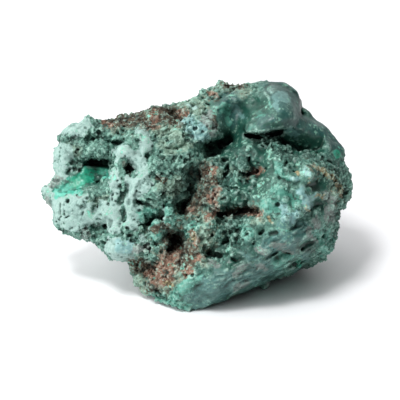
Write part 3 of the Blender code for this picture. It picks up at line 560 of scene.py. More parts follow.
for outline, spots in surfaces.values():
    spots = np.array(spots)
    edge = np.array(outline)
    far, near = spots[:, 2].min() - surfaceSetting["behind"], spots[:, 2].max() + surfaceSetting["before"]
    ends = [
        sheetPoint(*place) + towards * float(w * mm)
        for place in (edge.min(axis=0) - 1, edge.max(axis=0) + 1)
        for w in (far, near)
    ]
    ends = np.array([list(end) for end in ends], dtype=np.float32)
    cut, x, y, z = block(ends.min(axis=0), ends.max(axis=0))
    x, y, z = np.broadcast_arrays(x, y, z)
    points = np.stack((x.ravel(), y.ravel(), z.ravel()), axis=1)
    places = sheetPlace(points)
    depth = outlineDepth(places, outline) * sheet["square"]
    chosen = np.flatnonzero(depth > 0)
    old = field[cut].ravel()
    w = (points[chosen] - np.array(sheet["centre"], dtype=np.float32)) @ np.array(towards, dtype=np.float32)
    gap = w - mm * thinPlate(spots[:, :2], spots[:, 2], places[chosen])
    share = smoothStep(depth[chosen], 0, surfaceSetting["soft"]) * (gap > -surfaceSetting["reach"])
    gap = np.clip(surfaceSetting["slope"] * gap, -stoneShape["band"], stoneShape["band"])
    old[chosen] = old[chosen] * (1 - share) + gap * share
    field[cut] = old.reshape(x.shape)
report(f"set {', '.join(surfaces)}")

# ---- the stone without its smaller forms, on a coarse grid, and which of it is on the show face
coarseCut = (slice(None, None, stoneShape["coarseStep"]),) * 3
broad = blurred(field[coarseCut], stoneShape["broadBlur"], coarse)
slopes = np.gradient(broad)
steep = np.sqrt(sum(slope**2 for slope in slopes)) + 1e-9
outGrid = [slope / steep for slope in slopes]
seenGrid = smoothStep(sum(part * t for part, t in zip(outGrid, towards)), -0.35, -0.05).astype(np.float32)


def outward(points):
    rows = np.stack([sampled(part, points, coarse) for part in outGrid], axis=1)
    return rows / np.maximum(np.linalg.norm(rows, axis=1), 1e-6)[:, None]


coarseSpots = np.argwhere(np.abs(broad) < stoneShape["crustBand"])
coarseShares = crustShares((gridLow + coarse * coarseSpots).astype(np.float32))


def shareGrid(weights):
    # the weighted sum of some crusts, on the coarse grid
    grid = np.zeros(broad.shape, dtype=np.float32)
    total = sum(weight * coarseShares[kind] for kind, weight in weights.items())
    grid[tuple(coarseSpots.T)] = np.clip(total, 0, 1)
    return grid


smoothGrid = shareGrid({"glass": 1, "emerald": 1.2, "blueWhite": 0.8, "deepGreenAndShade": 0.7, "waxy": 0.75, "flow": 1})
paleGrid = shareGrid({"pale": 1.0})
report("crusts laid out")


def seenAt(points):
    return sampled(seenGrid, points, coarse)


def calmAt(points):
    return sampled(smoothGrid, points, coarse)


def paleAt(points):
    return sampled(paleGrid, points, coarse)


# ---- crust relief: rises and falls of the whole surface
crustRelief = {
    "band": 1.1 * mm,  # how far from the surface the field is worked on
    "craggySize": 2.6 * mm,
    "craggyHeight": 0.46 * mm,
    "craggyWarp": 0.9 * mm,
    "warpSize": 3.1 * mm,
    "crumblySize": 1.25 * mm,
    "crumblyHeight": 0.38 * mm,
    "smoothKeep": 0.14,  # what the smooth crusts keep of it
    "paleKeep": 0.12,
    "skinThick": 0.38 * mm,  # how far the pale skin stands out
    "flowTrail": [(1, -8.6), (6, -6), (11, -3.8)],  # where the flow ridges lie, in squares
    "flowLong": 9.0 * mm,  # the flow ridges, along and across
    "flowWide": 1.7 * mm,
    "flowHeight": 0.38 * mm,
    "flowWander": 0.5,
    "flowTurn": math.radians(27),
}


def ridges(noise, top, fall):
    # sharp ridges where the noise passes through zero
    return top - fall * np.abs(noise)


nearSurface = np.abs(field) < crustRelief["band"]
bandPoints = (gridLow + voxel * np.argwhere(nearSurface)).astype(np.float32)
calm = calmAt(bandPoints)
pale = paleAt(bandPoints)
keep = (1 - (1 - crustRelief["smoothKeep"]) * calm) * (1 - (1 - crustRelief["paleKeep"]) * pale)
warp = [noise.plain(bandPoints, crustRelief["warpSize"]) for noise in (noiseA, noiseB, noiseC)]
warped = bandPoints + crustRelief["craggyWarp"] * np.stack(warp, axis=1)
crags = ridges(noiseA.rough(warped, crustRelief["craggySize"], 2), 0.8, 2.2)
crumbs = noiseB.rough(bandPoints, crustRelief["crumblySize"], 2)
rise = keep * (crustRelief["craggyHeight"] * crags + crustRelief["crumblyHeight"] * crumbs)

flowPlace = sheetPlace(bandPoints) * sheet["square"]
turnCos, turnSin = math.cos(crustRelief["flowTurn"]), math.sin(crustRelief["flowTurn"])
along = (flowPlace[:, 0] * turnCos + flowPlace[:, 1] * turnSin) / crustRelief["flowLong"]
aside = (flowPlace[:, 1] * turnCos - flowPlace[:, 0] * turnSin) / crustRelief["flowWide"]
aside = aside + crustRelief["flowWander"] * noiseA.rough(bandPoints, 5 * mm, 2)
flow = ridges(noiseC.rough(np.stack((along, aside, 0 * along), axis=1), 1.0, 2), 1, 2.5)
flowArea = nearTrail(flowPlace / sheet["square"], crustRelief["flowTrail"], 1.6, 3.0)
nearSkin = np.flatnonzero(pale > 0.02)
rise[nearSkin] += crustRelief["skinThick"] * (crustShares(bandPoints[nearSkin])["pale"] - 0.5)
rise += flowArea * seenAt(bandPoints) * crustRelief["flowHeight"] * flow
field[nearSurface] -= rise
report(f"crust relief on {len(bandPoints)} points")

# ---- lumps and holes, placed one by one: u, v of the places along a trail, then the radius in mm and
# how far a lump stands out or how deep a hole goes, in mm
carving = {
    "lumpBlend": 0.5 * mm,
    "holeBlend": 0.2 * mm,
    "leastHole": 0.40,  # mm, the least radius that the grid can hold
    "holeStep": 0.7,  # mm from one digging step to the next
    "holeTaper": 0.25,  # the share of its radius that a hole loses on its way down
}
lumps = [
    (8, 0.9, 2.2, 0.9), (8.8, 0.2, 1.8, 0.7), (7.2, -0.2, 2, 0.8), (6.6, -0.8, 1.8, 0.7),
    (10.8, 2.7, 2.6, 1.2), (10.2, 0.6, 1.9, 0.8), (10.6, -0.3, 1.9, 0.9), (9.8, -0.6, 1.6, 0.7),
    (9.4, -1.3, 1.6, 0.8), (8.4, -1.2, 1.6, 0.7), (8.5, -1.9, 1.4, 0.6), (7.4, -1.4, 1.4, 0.5),
    (11.9, 0.5, 1.3, 0.7), (12.3, 0.3, 1, 0.5), (13.2, 0.1, 1.9, 0.7), (13.2, -1, 2, 0.7),
    (12.4, -1.8, 1.8, 0.6), (11.5, -2.2, 1.3, 0.6), (12, -3.4, 1.6, 0.6), (12.6, -4.6, 1.5, 0.6),
    (12.7, 5.3, 1.3, 0.9), (14.1, 3.5, 1.3, 0.6), (14.3, 5, 1.3, 0.5), (14.5, 2.2, 1.2, 0.5),
    (7.6, 4, 7.8, 3.2, 8.3, 2.6, 9.2, 2.2, 1, 0.9), (9.5, 2.1, 0.9, 0.8), (6.8, 4.8, 6.9, 4, 1.1, 0.7),
    (5, 5.4, 4.8, 4.8, 1.2, 0.8), (5.6, 1.9, 5, 2.1, 0.9, 0.8), (3.6, 3.6, 3.6, 2, 0.9, 0.8),
    (3.6, 1.2, 1, 0.7), (5, 1.2, 1.2, 0.6), (5.1, 7.3, 1.2, 0.5), (5.3, 8, 1.1, 0.5),
    (5.6, 8.6, 6.6, 9.2, 0.7, 0.5), (6.6, 11.8, 0.9, 0.5), (4.2, 10.2, 1.2, 0.6), (3.6, 10, 1, 0.6),
    (2.4, 9.6, 1.6, 9.2, 1, 0.7), (4.9, 10.6, 1.2, 0.6), (5.8, 10.6, 1.4, 0.6), (5.2, 9.9, 1, 0.5),
    (3, 9.4, 1, 0.5), (-1.1, 9.6, 2, 0.7), (-0.2, 9.3, 1.6, 0.6), (0.6, 10.8, 1.1, 0.9),
    (1.1, 11.1, 1, 0.8), (1.8, 10.8, 1, 0.8), (1.7, 10.2, 1, 0.6), (-2.8, 9.4, 1, 0.8), (-3.4, 9.3, 1, 0.7),
    (-4.6, 9.2, 1.1, 0.7), (-5.2, 8.6, 1.4, 0.7), (-4.4, 8.2, 1.2, 0.7), (-3.6, 8.5, 1.3, 0.7),
    (-6, 8.2, 1.2, 0.6), (-9.3, 8, 0.9, 0.6), (-8.8, 7.9, 0.9, 0.6), (-11, 8, 1, 0.6),
    (-1.3, 7.9, 1.3, 0.7), (-1, 7.3, 1.4, 0.8), (-0.3, 6.9, 1.4, 0.8), (0.2, 6.3, 1.3, 0.8),
    (0.9, 7.7, 1.4, 0.8), (1.4, 7, 1.4, 0.7), (2, 7.6, 1.3, 0.6), (-0.4, 8.4, 1.3, 0.6),
    (-2.4, 6.9, 1.4, 0.7), (-1.8, 6, 1.5, 0.8), (-2.8, 6, 1.4, 0.7), (-3.6, 7, 1.2, 0.6),
    (-5.9, 6.9, 1.6, 0.7), (-5.4, 6, 1.4, 0.7), (-11, 5, -9.8, 4.9, 1, 0.7), (-8.8, 6.6, 1.3, 0.7),
    (-7.8, 7.3, 1.6, 0.7), (-9.2, 6.9, 1.2, 0.6), (-10.2, 6.9, 1.3, 0.6), (-8.1, 6.2, -7.4, 6.2, 0.9, 0.7),
    (-9.6, 5.5, -8.4, 5.6, 0.6, 0.6), (-11.5, 6.6, 1.1, 0.6), (-13.3, -2.9, 1.3, 0.7),
    (-12.6, -3.3, 1.2, 0.7), (-11.4, -3.3, 1.5, 0.7), (-11.9, -2.6, 1.1, 0.5), (-9.6, -3.8, 1.3, 0.7),
    (-8.8, -3.4, 1.2, 0.6), (-8.6, -5.2, 2, 0.6), (-7.4, -5.3, 1.9, 0.6), (-6.2, -4.8, 2.2, 0.6),
    (-5.4, -5.2, 1.6, 0.6), (-5.4, -6.1, 1.1, 0.8), (-4.6, -5.4, 1.2, 0.6), (-6.2, -2.6, 1, 0.8),
    (-5.9, -1, -5.2, -1.2, 1.3, 1), (-4.7, -1, 1, 0.7), (-6.8, -3.2, 1, 0.6),
    (-3.1, -1, -3, -1.8, 1.1, 0.8), (-4.6, -2.7, -4.5, -3.4, 1.1, 0.8), (-3.6, -2.8, 1.1, 0.6),
    (-5.6, -4.2, -4.4, -4.6, 0.8, 0.8), (-7, -3.6, 1.1, 0.7), (-15.4, 0.6, 1.2, 0.5),
    (-0.9, -2.6, -1.3, -3.4, 0.6, 0.5), (1.1, -2.4, 1.8, 0.7), (0.4, -3.6, 1.3, 0.6), (3.2, -4.6, 1.1, 0.9),
    (3.2, -5.4, 1, 0.8), (2.2, -3.6, 3.4, -2.8, 0.8, 0.7), (1.2, -4.6, 1.1, 0.6), (4.8, -2.8, 1.2, 0.7),
    (4.9, -3.8, 1.3, 0.7), (6, -2.4, 1.2, 0.6), (8.4, -6.1, 1.6, 0.6), (7.8, -6.4, 1.2, 0.5),
    (-4.6, -8.2, 1, 0.6), (-5.8, -7.6, 1.1, 0.6), (-6.2, -8.2, 1.1, 0.6), (-4.8, -9.2, 1, 0.6),
    (-2, 2.2, 1, 0.6), (-3.1, 1, 1.1, 0.7), (2.6, 0.4, 1.6, 0.9), (3.5, 0, 1.4, 0.9), (4.4, 0.5, 1.6, 0.8),
    (5.2, -0.1, 1.3, 0.7), (3, -0.5, 1, 0.6), (4.2, -0.5, 1, 0.6), (-12.6, 3.6, 1.2, 0.4),
    (-12.2, 3.4, 0.9, 0.4), (6.4, 5.4, 2, 0.9), (7.2, 5.2, 1.6, 0.8), (4.6, 5.6, 1.6, 0.7),
    (9.4, 4.9, 1.3, 0.7), (10.6, 4.8, 1.2, 0.7), (-2.9, 0.2, 1, 0.7), (-4, 0.2, 1, 0.6),
    (-4.2, 1.2, 1, 0.6), (-1.6, 1.2, 1, 0.5),
]
holes = [
    # beside the vug
    (-12.8, 4.1, -12.4, 4.15, 0.4, 1.4), (-10.4, 1.8, -9.9, 2, 0.5, 2.4),
    # left lobe, upper part
    (-12.5, 6.2, 0.85, 1.4), (-13.5, 6, 0.45, 1.2), (-12.1, 6.5, 0.3, 0.8), (-13, 6, 0.3, 0.8),
    (-11.3, 6.3, -10.6, 6.1, 0.6, 2.6), (-9.7, 5.9, -8.8, 5.8, -7.9, 5.85, 0.55, 3.2),
    (-9.6, 5, -8.8, 5.1, -8.3, 5.3, 0.45, 2), (-8.9, 4.8, -8.7, 4.2, 0.6, 2), (-10.9, 4.8, 0.4, 1.4),
    (-10.6, 4.35, 0.4, 1.4), (-12.2, 5, 0.45, 1.4), (-12.7, 5.4, 0.4, 1.2), (-10.3, 5.8, 0.35, 1.2),
    (-11.3, 5.7, 0.45, 1.4), (-7.6, 6.9, -7.3, 6.6, 0.5, 2), (-7.7, 7.5, -7.2, 7.6, 0.35, 1.4),
    (-6.8, 6.9, 0.4, 1.4), (-6.7, 5.8, 0.35, 1.2), (-5.6, 6.85, 0.35, 1.2), (-5.5, 6.65, 0.45, 1.2),
    (-5.9, 4.4, 0.4, 1.2), (-7.5, 4.4, 0.35, 1), (-4.7, 5.35, 0.6, 2), (-4.8, 4.7, -5, 4, 0.5, 1.8),
    (-5.3, 3.4, 0.75, 2.4), (-6.7, 3.7, 0.5, 1.5), (-7.5, 3.6, -7.2, 3.1, -6.8, 2.9, 1, 3.2),
    (-7.3, 3, -6.9, 2.4, 0.8, 2.4), (-7.4, 2.6, -7, 2.4, 0.5, 1.6), (-8.7, 2.9, 0.35, 1.4),
    (-8.2, 1.9, 0.65, 1.2), (-6.4, 0.95, 0.6, 1.8), (-6, 0.8, 0.4, 1.4), (-7.1, 0, -7.1, -0.4, 0.55, 0.9),
    (-7.4, 1.4, -7.7, 0.4, -8, -0.3, 0.9, 0.7), (-7.2, 1, -7.3, 0.4, 0.3, 1), (-8.8, 0, -8.7, 0.8, 0.35, 1),
    # left lobe, lower part
    (-13.25, -0.1, 0.8, 2.2), (-13, -0.4, 0.35, 1.4), (-15.5, 0.5, 0.45, 1.2), (-11.6, -0.8, 0.45, 1.4),
    (-11.2, -0.9, 0.35, 1.4), (-9.7, -1, 0.42, 1.4), (-12.1, -1, 0.35, 1.2), (-12.1, -1.7, 0.35, 1.2),
    (-11.7, -1.2, -11.8, -1.5, 0.25, 0.8), (-12.6, -1.5, 0.35, 1.2), (-13.1, -1.6, -13.5, -1.8, 0.35, 1.2),
    (-13.6, -1.1, 0.35, 1), (-14, -0.4, -14, -1.4, 0.28, 0.9), (-13.9, -1.7, -14.1, -2, 0.5, 1.2),
    (-14.4, -2.2, 0.5, 1.4), (-13.6, -0.5, 0.28, 0.9), (-10, -1.5, 0.6, 1), (-9.4, -2, 0.45, 1.6),
    (-10.4, 0.2, -10.3, -0.4, -10.6, -1.2, 0.7, 0.5), (-9.8, -2.7, -9.4, -2.6, 0.7, 3),
    (-10.6, -2.9, -10, -2.8, 0.45, 2), (-10.4, -3.4, -9.9, -3.3, 0.4, 1.6), (-9.6, -4.8, 0.5, 1.2),
    (-8.4, -3.3, 0.5, 1.6), (-7.5, -1.2, -7.6, -2, 0.7, 0.4), (-8, -2.4, 0.55, 1.6),
    (-7.6, -2.7, -7.2, -2.8, 0.45, 1.2), (-7.2, -3.5, -6.8, -3.4, 0.5, 1.6), (-11.8, -3.3, 0.6, 1.2),
    (-8.9, -3.2, 0.4, 1.2), (-9.1, -4, 0.4, 1.2), (-15, -0.1, -14.9, -0.5, 0.5, 1),
    # between the lobe and the valley
    (-6.2, 0, -5.8, -0.3, 0.8, 3.4), (-5.2, 0.1, -4.8, 0, 0.35, 1.4), (-5.4, -0.8, 0.4, 1.4),
    (-4.7, -1.6, -4, -1.9, -3.6, -1.8, 0.8, 3.6), (-5.3, -2.6, -4.9, -2.2, 0.8, 3.6),
    (-5, -3, -4.9, -3.6, 0.45, 1.8), (-6.3, -3.8, 0.45, 1.8), (-5, -3.9, 0.45, 1.8),
    (-3.6, -0.5, -3.6, -1.2, 0.5, 2), (-3.5, 0.8, -3.7, 0.4, 0.35, 1.6), (-2.4, 0.9, -2.2, 0.2, 0.7, 2.4),
    (-4.9, 1.9, -4.2, 1.7, -3.4, 2.1, 0.5, 1.8), (-4, 1, 0.4, 1.4), (-4.7, 0.7, 0.4, 1.4),
    (-2.8, 2.6, -2.2, 2.4, 0.6, 2), (-2.3, 3, 0.35, 1.4), (-1.3, 3.5, 0.5, 1.8), (-1.4, 3.1, 0.3, 1.2),
    (-1.6, 2.4, 0.35, 1.4), (-3.3, 5.8, 0.35, 1.2), (-3.1, 5.2, 0.35, 1.2),
    (-2.6, 5.1, -1.4, 5.5, 0.45, 1.6), (-2.4, -0.6, -2.6, -1.8, 0.6, 1.6), (-4.2, 6.2, -4.8, 6.6, 0.5, 1.8),
    (-3.9, 6.3, 0.4, 1.4),
    # the rusty valley
    (-0.2, 3, -0.1, 2.2, -0.2, 1.4, 0.7, 3.2), (-0.6, 0.9, -0.9, 0.4, 0.7, 3.4),
    (-1.5, -0.2, -1.9, -1.4, 0.9, 3.8), (0.2, 1.6, 0.8, 1.7, 0.7, 2.6), (0.4, 0.9, 0.5, 1.8),
    (-3.4, -3.4, -2.8, -3.6, 1, 3), (-3.4, -4.6, -2.6, -4.8, -3.8, -5.1, 1, 3.6),
    (-1.9, -4.7, -1.4, -4.3, 0.7, 3), (-2, -5.5, 0.5, 1.8), (-1.4, -6.8, -1.6, -7, 0.35, 1.4),
    (-2.4, -7.9, -2, -7.7, 0.35, 1.4), (-4.8, -6.2, -4.2, -6.4, 0.8, 2.4), (-5.4, -6.7, 0.7, 1.8),
    (-6.6, -6.2, 0.7, 1.6), (-4.8, -7.4, 0.5, 1.2),
    # top edge
    (-2.7, 8.7, -2.5, 8.3, 0.7, 2.6), (-2, 8.2, -1.7, 7.9, 0.7, 2.6), (-3.2, 8.9, 0.35, 1.4),
    (-3.5, 7.8, 0.45, 1.6), (0.9, 9.6, 0.5, 9.8, 0.6, 1.8), (1, 10.3, 0.5, 1.6),
    (2, 10.2, 2.3, 10.6, 0.5, 1.8), (2.9, 11.3, 3.8, 11.1, 0.6, 1.8), (-0.3, 8.7, 0.45, 1.4),
    (0.6, 8.7, 0.5, 9.4, 0.4, 1.2),
    # right of the valley
    (0.7, 4.4, 1.4, 4.6, 2.2, 4.6, 0.5, 2.6), (2.1, 5.5, 2.6, 5.4, 3.1, 5.7, 1.3, 3.8),
    (2.3, 4.1, 2.8, 4, 0.6, 2.2), (2.8, 3.3, 2.4, 2.4, 0.9, 3), (3.3, 2.9, 3.5, 2.4, 0.45, 2),
    (4.6, 2.6, 5.2, 2.4, 5.8, 2.9, 0.8, 3), (5, 2.1, 0.5, 2.4), (4.7, 3.5, 4.9, 4.2, 0.55, 2.2),
    (5.5, 1.4, 0.45, 1.8), (1.9, 2, 2.3, 1.8, 0.5, 1.8), (8.3, 1.55, 0.35, 1.2), (7.3, 1, 0.4, 1.4),
    (8.7, 3.9, 8.5, 3.4, 0.5, 1.4), (9.6, 3.3, 0.5, 1.8), (9.4, 2.9, 0.5, 1.4),
    (11.9, 2.7, 12.4, 2.4, 0.4, 1.6), (13.3, 2.2, 0.35, 1.4), (1.8, -1.4, 2.6, -1.5, 0.9, 3.4),
    (3.4, -1.3, 4.4, -1.1, 5.8, -1.1, 0.9, 3.6), (3.5, -1.8, 0.6, 2.6), (2.3, -2.3, 2.6, -2.2, 0.6, 2.2),
    (3.4, -2.8, 0.45, 1.6), (4.1, -2.8, 4, -3.6, 3.8, -4.4, 0.6, 2.6), (2.4, -4.3, 2.8, -4.1, 0.7, 2.6),
    (3.6, -4.3, 0.5, 2), (2.7, -3.4, 0.4, 1.6), (1.5, -3.3, 1.2, -3.6, 0.55, 2),
    (0.7, -5.2, 1.3, -5.4, 2.2, -5.6, 0.8, 3), (3.2, -5.9, 3.6, -6.1, 0.5, 1.2), (0.5, -7.7, 0.3, 1.2),
    (6, -3.4, 6.3, -3.1, 0.6, 2.4), (7.1, -3.4, 7.6, -3.3, 0.8, 1.4), (7, -2.1, 7.2, -1.6, 0.4, 1.4),
    (7.5, -1.3, 0.35, 1.4), (9.6, -2.6, 9.8, -2, 10.6, -1.9, 0.5, 1.8), (10.8, -2.6, 10.4, -2.3, 0.3, 1.2),
    (13, -3.4, 13.1, -3, 0.5, 1.6), (11.8, 4.6, 12.1, 4.2, 0.5, 1.6),
    (9.4, -6.3, 9.6, -6.8, 10.2, -6.2, 0.9, 1.6), (7.2, -5.2, 9, -5.4, 0.4, 1.2),
    (10.4, -4.8, 8.8, -5.3, 0.4, 1), (10.2, 8.9, 10.5, 8.7, 0.7, 2),
    (14.1, -2.6, 14, -3.6, 13.6, -4.6, 1.8, 2.2), (14.2, 4, 0.5, 1.4), (14, 1.2, 14.2, 0, 0.3, 1.4),
    (14, -0.2, 13.9, -1.2, 0.35, 1.4),
]

for row in lumps:
    trail, radius, height = trailRow(row, 2)
    centres = [spot + facing * (height - radius) * mm for spot, facing in trailOnStone(trail)]
    for start, end in zip(centres, centres[1:] or centres):
        placeCapsule(start, end, radius * mm, carving["lumpBlend"], 1)

beforeHoles = field.copy()
inwards = -np.array(towards, dtype=np.float32)
for row in holes:
    trail, radius, depth = trailRow(row, 2)
    spots = trailOnStone(trail)
    for (start, facing), (end, _) in zip(spots, spots[1:] or spots):
        lean = 0.5 * inwards - 0.5 * facing
        lean /= np.linalg.norm(lean)
        steps = max(2, int(depth / carving["holeStep"]))
        for step in np.linspace(0, max(depth - radius, 0.0), steps):
            taper = 1 - carving["holeTaper"] * step / depth
            width = max(radius, carving["leastHole"]) * taper * mm
            placeCapsule(start + lean * step * mm, end + lean * step * mm, width, carving["holeBlend"], -1)
report(f"{len(lumps)} lumps and {len(holes)} holes")

# ---- sown marks: pores, sponge cells, knobs and crumbs, each kind where its crust lies
sown = {
    # kind: how many, least and greatest radius in mm, depth (-) or height (+) as a share of the radius
    "knobs": (420, 0.5, 1.3, 0.45),
    "chips": (700, 0.8, 2.4, 0.25),
    "nicks": (900, 0.7, 2.0, -0.3),
    "sponge": (2600, 0.36, 0.95, -1.5),
    "crumbs": (9000, 0.3, 0.7, 0.4),
    "pores": (700, 0.32, 0.52, -2.4),
}
sowing = {
    "seed": 5,
    "angular": ("chips", "nicks", "crumbs"),  # the other kinds are round
    "bodies": 24,  # angular bodies to choose from
    "sunk": 0.6,  # how far a body sits below its height, as a share of its radius
    "blend": 0.1 * mm,
    "poreBlend": 0.12 * mm,
    "domes": [(8, 0.5), (10.5, 1.0), (12.5, -0.5)],  # where the knobs of the show face crowd, in squares
}
rng = np.random.RandomState(sowing["seed"])
areas = np.array([f.calc_area() for f in solid.faces])
corners = np.array([[v.co[:] for v in f.verts] for f in solid.faces])


def sowPlaces(count):
    # places spread evenly over the stone, slid onto the present surface, and their outward directions
    pick = rng.choice(len(areas), size=count, p=areas / areas.sum())
    a, b = rng.rand(count), rng.rand(count)
    fold = a + b > 1
    a[fold], b[fold] = 1 - a[fold], 1 - b[fold]
    tri = corners[pick]
    spots = tri[:, 0] + a[:, None] * (tri[:, 1] - tri[:, 0]) + b[:, None] * (tri[:, 2] - tri[:, 0])
    spots = spots.astype(np.float32)
    facing = outward(spots)
    for _ in range(3):
        spots = spots - facing * sampled(field, spots, voxel)[:, None]
    return spots, facing.astype(np.float32)


def angularBody():
    # the outward directions of its flats, and how far out each lies as a share of its radius
    turn, _ = np.linalg.qr(rng.normal(size=(3, 3)))
    corner = np.array([(a, b, c) for a in (-1, 1) for b in (-1, 1) for c in (-1, 1)]) / math.sqrt(3)
    flats = np.concatenate((np.eye(3), -np.eye(3), corner)) @ turn.T
    return flats.astype(np.float32), np.concatenate((0.65 + 0.3 * rng.rand(6), 0.75 + 0.35 * rng.rand(8)))


bodies = [angularBody() for _ in range(sowing["bodies"])]


def placeBody(centre, radius, body, blend, sign):
    # sign 1 adds the body to the stone, -1 cuts it out
    reach = 1.3 * radius + blend
    cut, x, y, z = block(centre - reach, centre + reach)
    x, y, z = x - centre[0], y - centre[1], z - centre[2]
    gap = -99.0
    for (a, b, c), out in zip(*body):
        gap = np.maximum(gap, x * a + y * b + z * c - out * radius)
    field[cut] = sign * smoothLower(sign * field[cut], gap, blend)


def sow(kind, wanted):
    count, least, most, depth = sown[kind]
    spots, facing = sowPlaces(count * 3)
    chance = wanted(spots)
    keepers = np.flatnonzero(rng.rand(len(spots)) < chance)[:count]
    for i in keepers:
        radius = (least + (most - least) * rng.rand() ** 2) * mm
        if kind in sowing["angular"]:
            sign = 1 if depth > 0 else -1
            middle = spots[i] + facing[i] * radius * (depth - sign * sowing["sunk"])
            placeBody(middle, radius, bodies[rng.randint(len(bodies))], sowing["blend"], sign)
        elif depth < 0:
            bottom = spots[i] + facing[i] * radius * depth * sowing["sunk"]
            placeCapsule(spots[i], bottom, radius, sowing["poreBlend"], -1)
        else:
            middle = spots[i] + facing[i] * radius * (depth - sowing["sunk"])
            placeCapsule(middle, middle, radius, sowing["blend"], 1)
    return len(keepers)


def spongy(spots):
    clump = smoothStep(noiseC.rough(spots, 5 * mm, 2), -0.1, 0.25)
    return (1 - np.clip(calmAt(spots) + paleAt(spots), 0, 1)) * clump


def porous(spots):
    return paleAt(spots) * smoothStep(noiseB.rough(spots, 6 * mm, 1), -0.3, 0.2)


def knobby(spots):
    domes = nearTrail(sheetPlace(spots), sowing["domes"], 2.5, 4.0) * seenAt(spots)
    loose = (1 - seenAt(spots)) * smoothStep(noiseB.rough(spots, 10 * mm, 2), 0.0, 0.2)
    return np.clip(domes + loose, 0, 1) * (1 - paleAt(spots))


def blocky(spots):
    plain = np.clip(calmAt(spots) + 0.8 * paleAt(spots), 0, 1)
    return (1 - plain) * smoothStep(noiseB.rough(spots, 7 * mm, 2), -0.25, 0.1)


def crumbly(spots):
    return 1 - np.clip(calmAt(spots) + 0.85 * paleAt(spots), 0, 1)


for kind, wanted in zip(sown, (knobby, blocky, blocky, spongy, crumbly, porous)):
    report(f"sown {sow(kind, wanted)} {kind}")

# ---- flat resting face, box limits, and the finished surface
for axis, grid in enumerate(np.meshgrid(*gridAxes, indexing="ij", sparse=True)):
    field = np.maximum(field, grid - (cadBox[1][axis] - stoneShape["highGap"]))
    field = np.maximum(field, (cadBox[0][axis] + stoneShape["lowGap"]) - grid)
levels = openvdb.FloatGrid()
levels.copyFromArray((field / voxel).astype(np.float32))
points, tris, quads = levels.convertToPolygons(isovalue=0.0, adaptivity=0.0)
points = points * voxel + gridLow
report(f"surface of {len(quads)} squares")


def meshFrom(name, points, faces):
    mesh = bpy.data.meshes.new(name)
    mesh.from_pydata(points.tolist(), [], faces)
    mesh.update()
    obj = bpy.data.objects.new(name, mesh)
    bpy.context.scene.collection.objects.link(obj)
    return obj


def largestBody(obj):
    # drop the crumbs that came loose and the bubbles inside
    mesh = obj.data
    edges = np.empty(len(mesh.edges) * 2, dtype=np.int64)
    mesh.edges.foreach_get("vertices", edges)
    edges = edges.reshape(-1, 2)
    label = np.arange(len(mesh.vertices))
    while True:
        low = np.minimum(label[edges[:, 0]], label[edges[:, 1]])
        new = label.copy()
        np.minimum.at(new, edges[:, 0], low)
        np.minimum.at(new, edges[:, 1], low)
        new = new[new]
        if (new == label).all():
            break
        label = new
    labels, sizes = np.unique(label, return_counts=True)
    keepLabel = labels[sizes.argmax()]
    body = bmesh.new()
    body.from_mesh(mesh)
    body.verts.ensure_lookup_table()
    loose = [body.verts[i] for i in np.flatnonzero(label != keepLabel)]
    bmesh.ops.delete(body, geom=loose, context="VERTS")
    body.to_mesh(mesh)
    body.free()
    return len(loose)


def pointRows(mesh):
    rows = np.empty(len(mesh.vertices) * 3, dtype=np.float32)
    mesh.vertices.foreach_get("co", rows)
    return rows.reshape(-1, 3)


boxLow, boxHigh = (np.array(corner, dtype=np.float32) for corner in cadBox)


def keepInBox(mesh):
    # points that are a hair past the box, from thinning or as part of a grain, go back onto it
    rows = np.clip(pointRows(mesh), boxLow + stoneShape["pointGap"], boxHigh - stoneShape["pointGap"])
    mesh.vertices.foreach_set("co", rows.ravel())
    mesh.update()
    return rows


stone = meshFrom("stone_surface", points, quads.tolist() + tris.tolist())
report(f"dropped {largestBody(stone)} loose points")
count = sum(len(f.vertices) - 2 for f in stone.data.polygons)
if count > stoneShape["triangles"]:
    thin = stone.modifiers.new("thin", "DECIMATE")
    thin.ratio = stoneShape["triangles"] / count
    weights = stone.vertex_groups.new(name="thinning")
    seen = seenAt(pointRows(stone.data)) > 0.5
    weights.add(np.flatnonzero(seen).tolist(), stoneShape["shownThinning"], "REPLACE")
    weights.add(np.flatnonzero(~seen).tolist(), 1.0, "REPLACE")
    thin.vertex_group = "thinning"
    thin.vertex_group_factor = 1.0
    thin.use_collapse_triangulate = True
    evaluated = stone.evaluated_get(bpy.context.evaluated_depsgraph_get())
    thinned = bpy.data.meshes.new_from_object(evaluated)
    stone.modifiers.clear()
    stone.data = thinned
    stone.vertex_groups.clear()
stonePoints = keepInBox(stone.data)
stone.data.polygons.foreach_set("use_smooth", [True] * len(stone.data.polygons))
check = bmesh.new()
check.from_mesh(stone.data)
volume = check.calc_volume(signed=True)
openEdges = sum(1 for edge in check.edges if len(edge.link_faces) != 2)
check.free()
report(f"stone of {len(stone.data.polygons)} faces, volume {volume * 1e6:.1f} cm3, {openEdges} open edges")

# ---- what the material reads from each point
reliefMarks = {
    # the distances at which each mark starts and is full. The material paints shade by the sunk, pit and
    # crease marks, and makes the edges paler, partly wear and partly a painted highlight
    "sunk": (1.0 * mm, 4.0 * mm),  # below the broad surface
    "pit": (0.25 * mm, 1.3 * mm),  # below the surface without its holes
    "edge": (0.04 * mm, 0.24 * mm),  # above the blurred surface
    "creaseShade": (0.02 * mm, 0.22 * mm),  # below it
    "blur": 0.5 * mm,
}
gritClear = {"floor": 2 * mm, "box": 0.8 * mm}  # no grit this near the floor and the box
shares = crustShares(stonePoints)
calm = np.clip(shares["glass"] + shares["emerald"] + shares["deepGreenAndShade"], 0, 1)
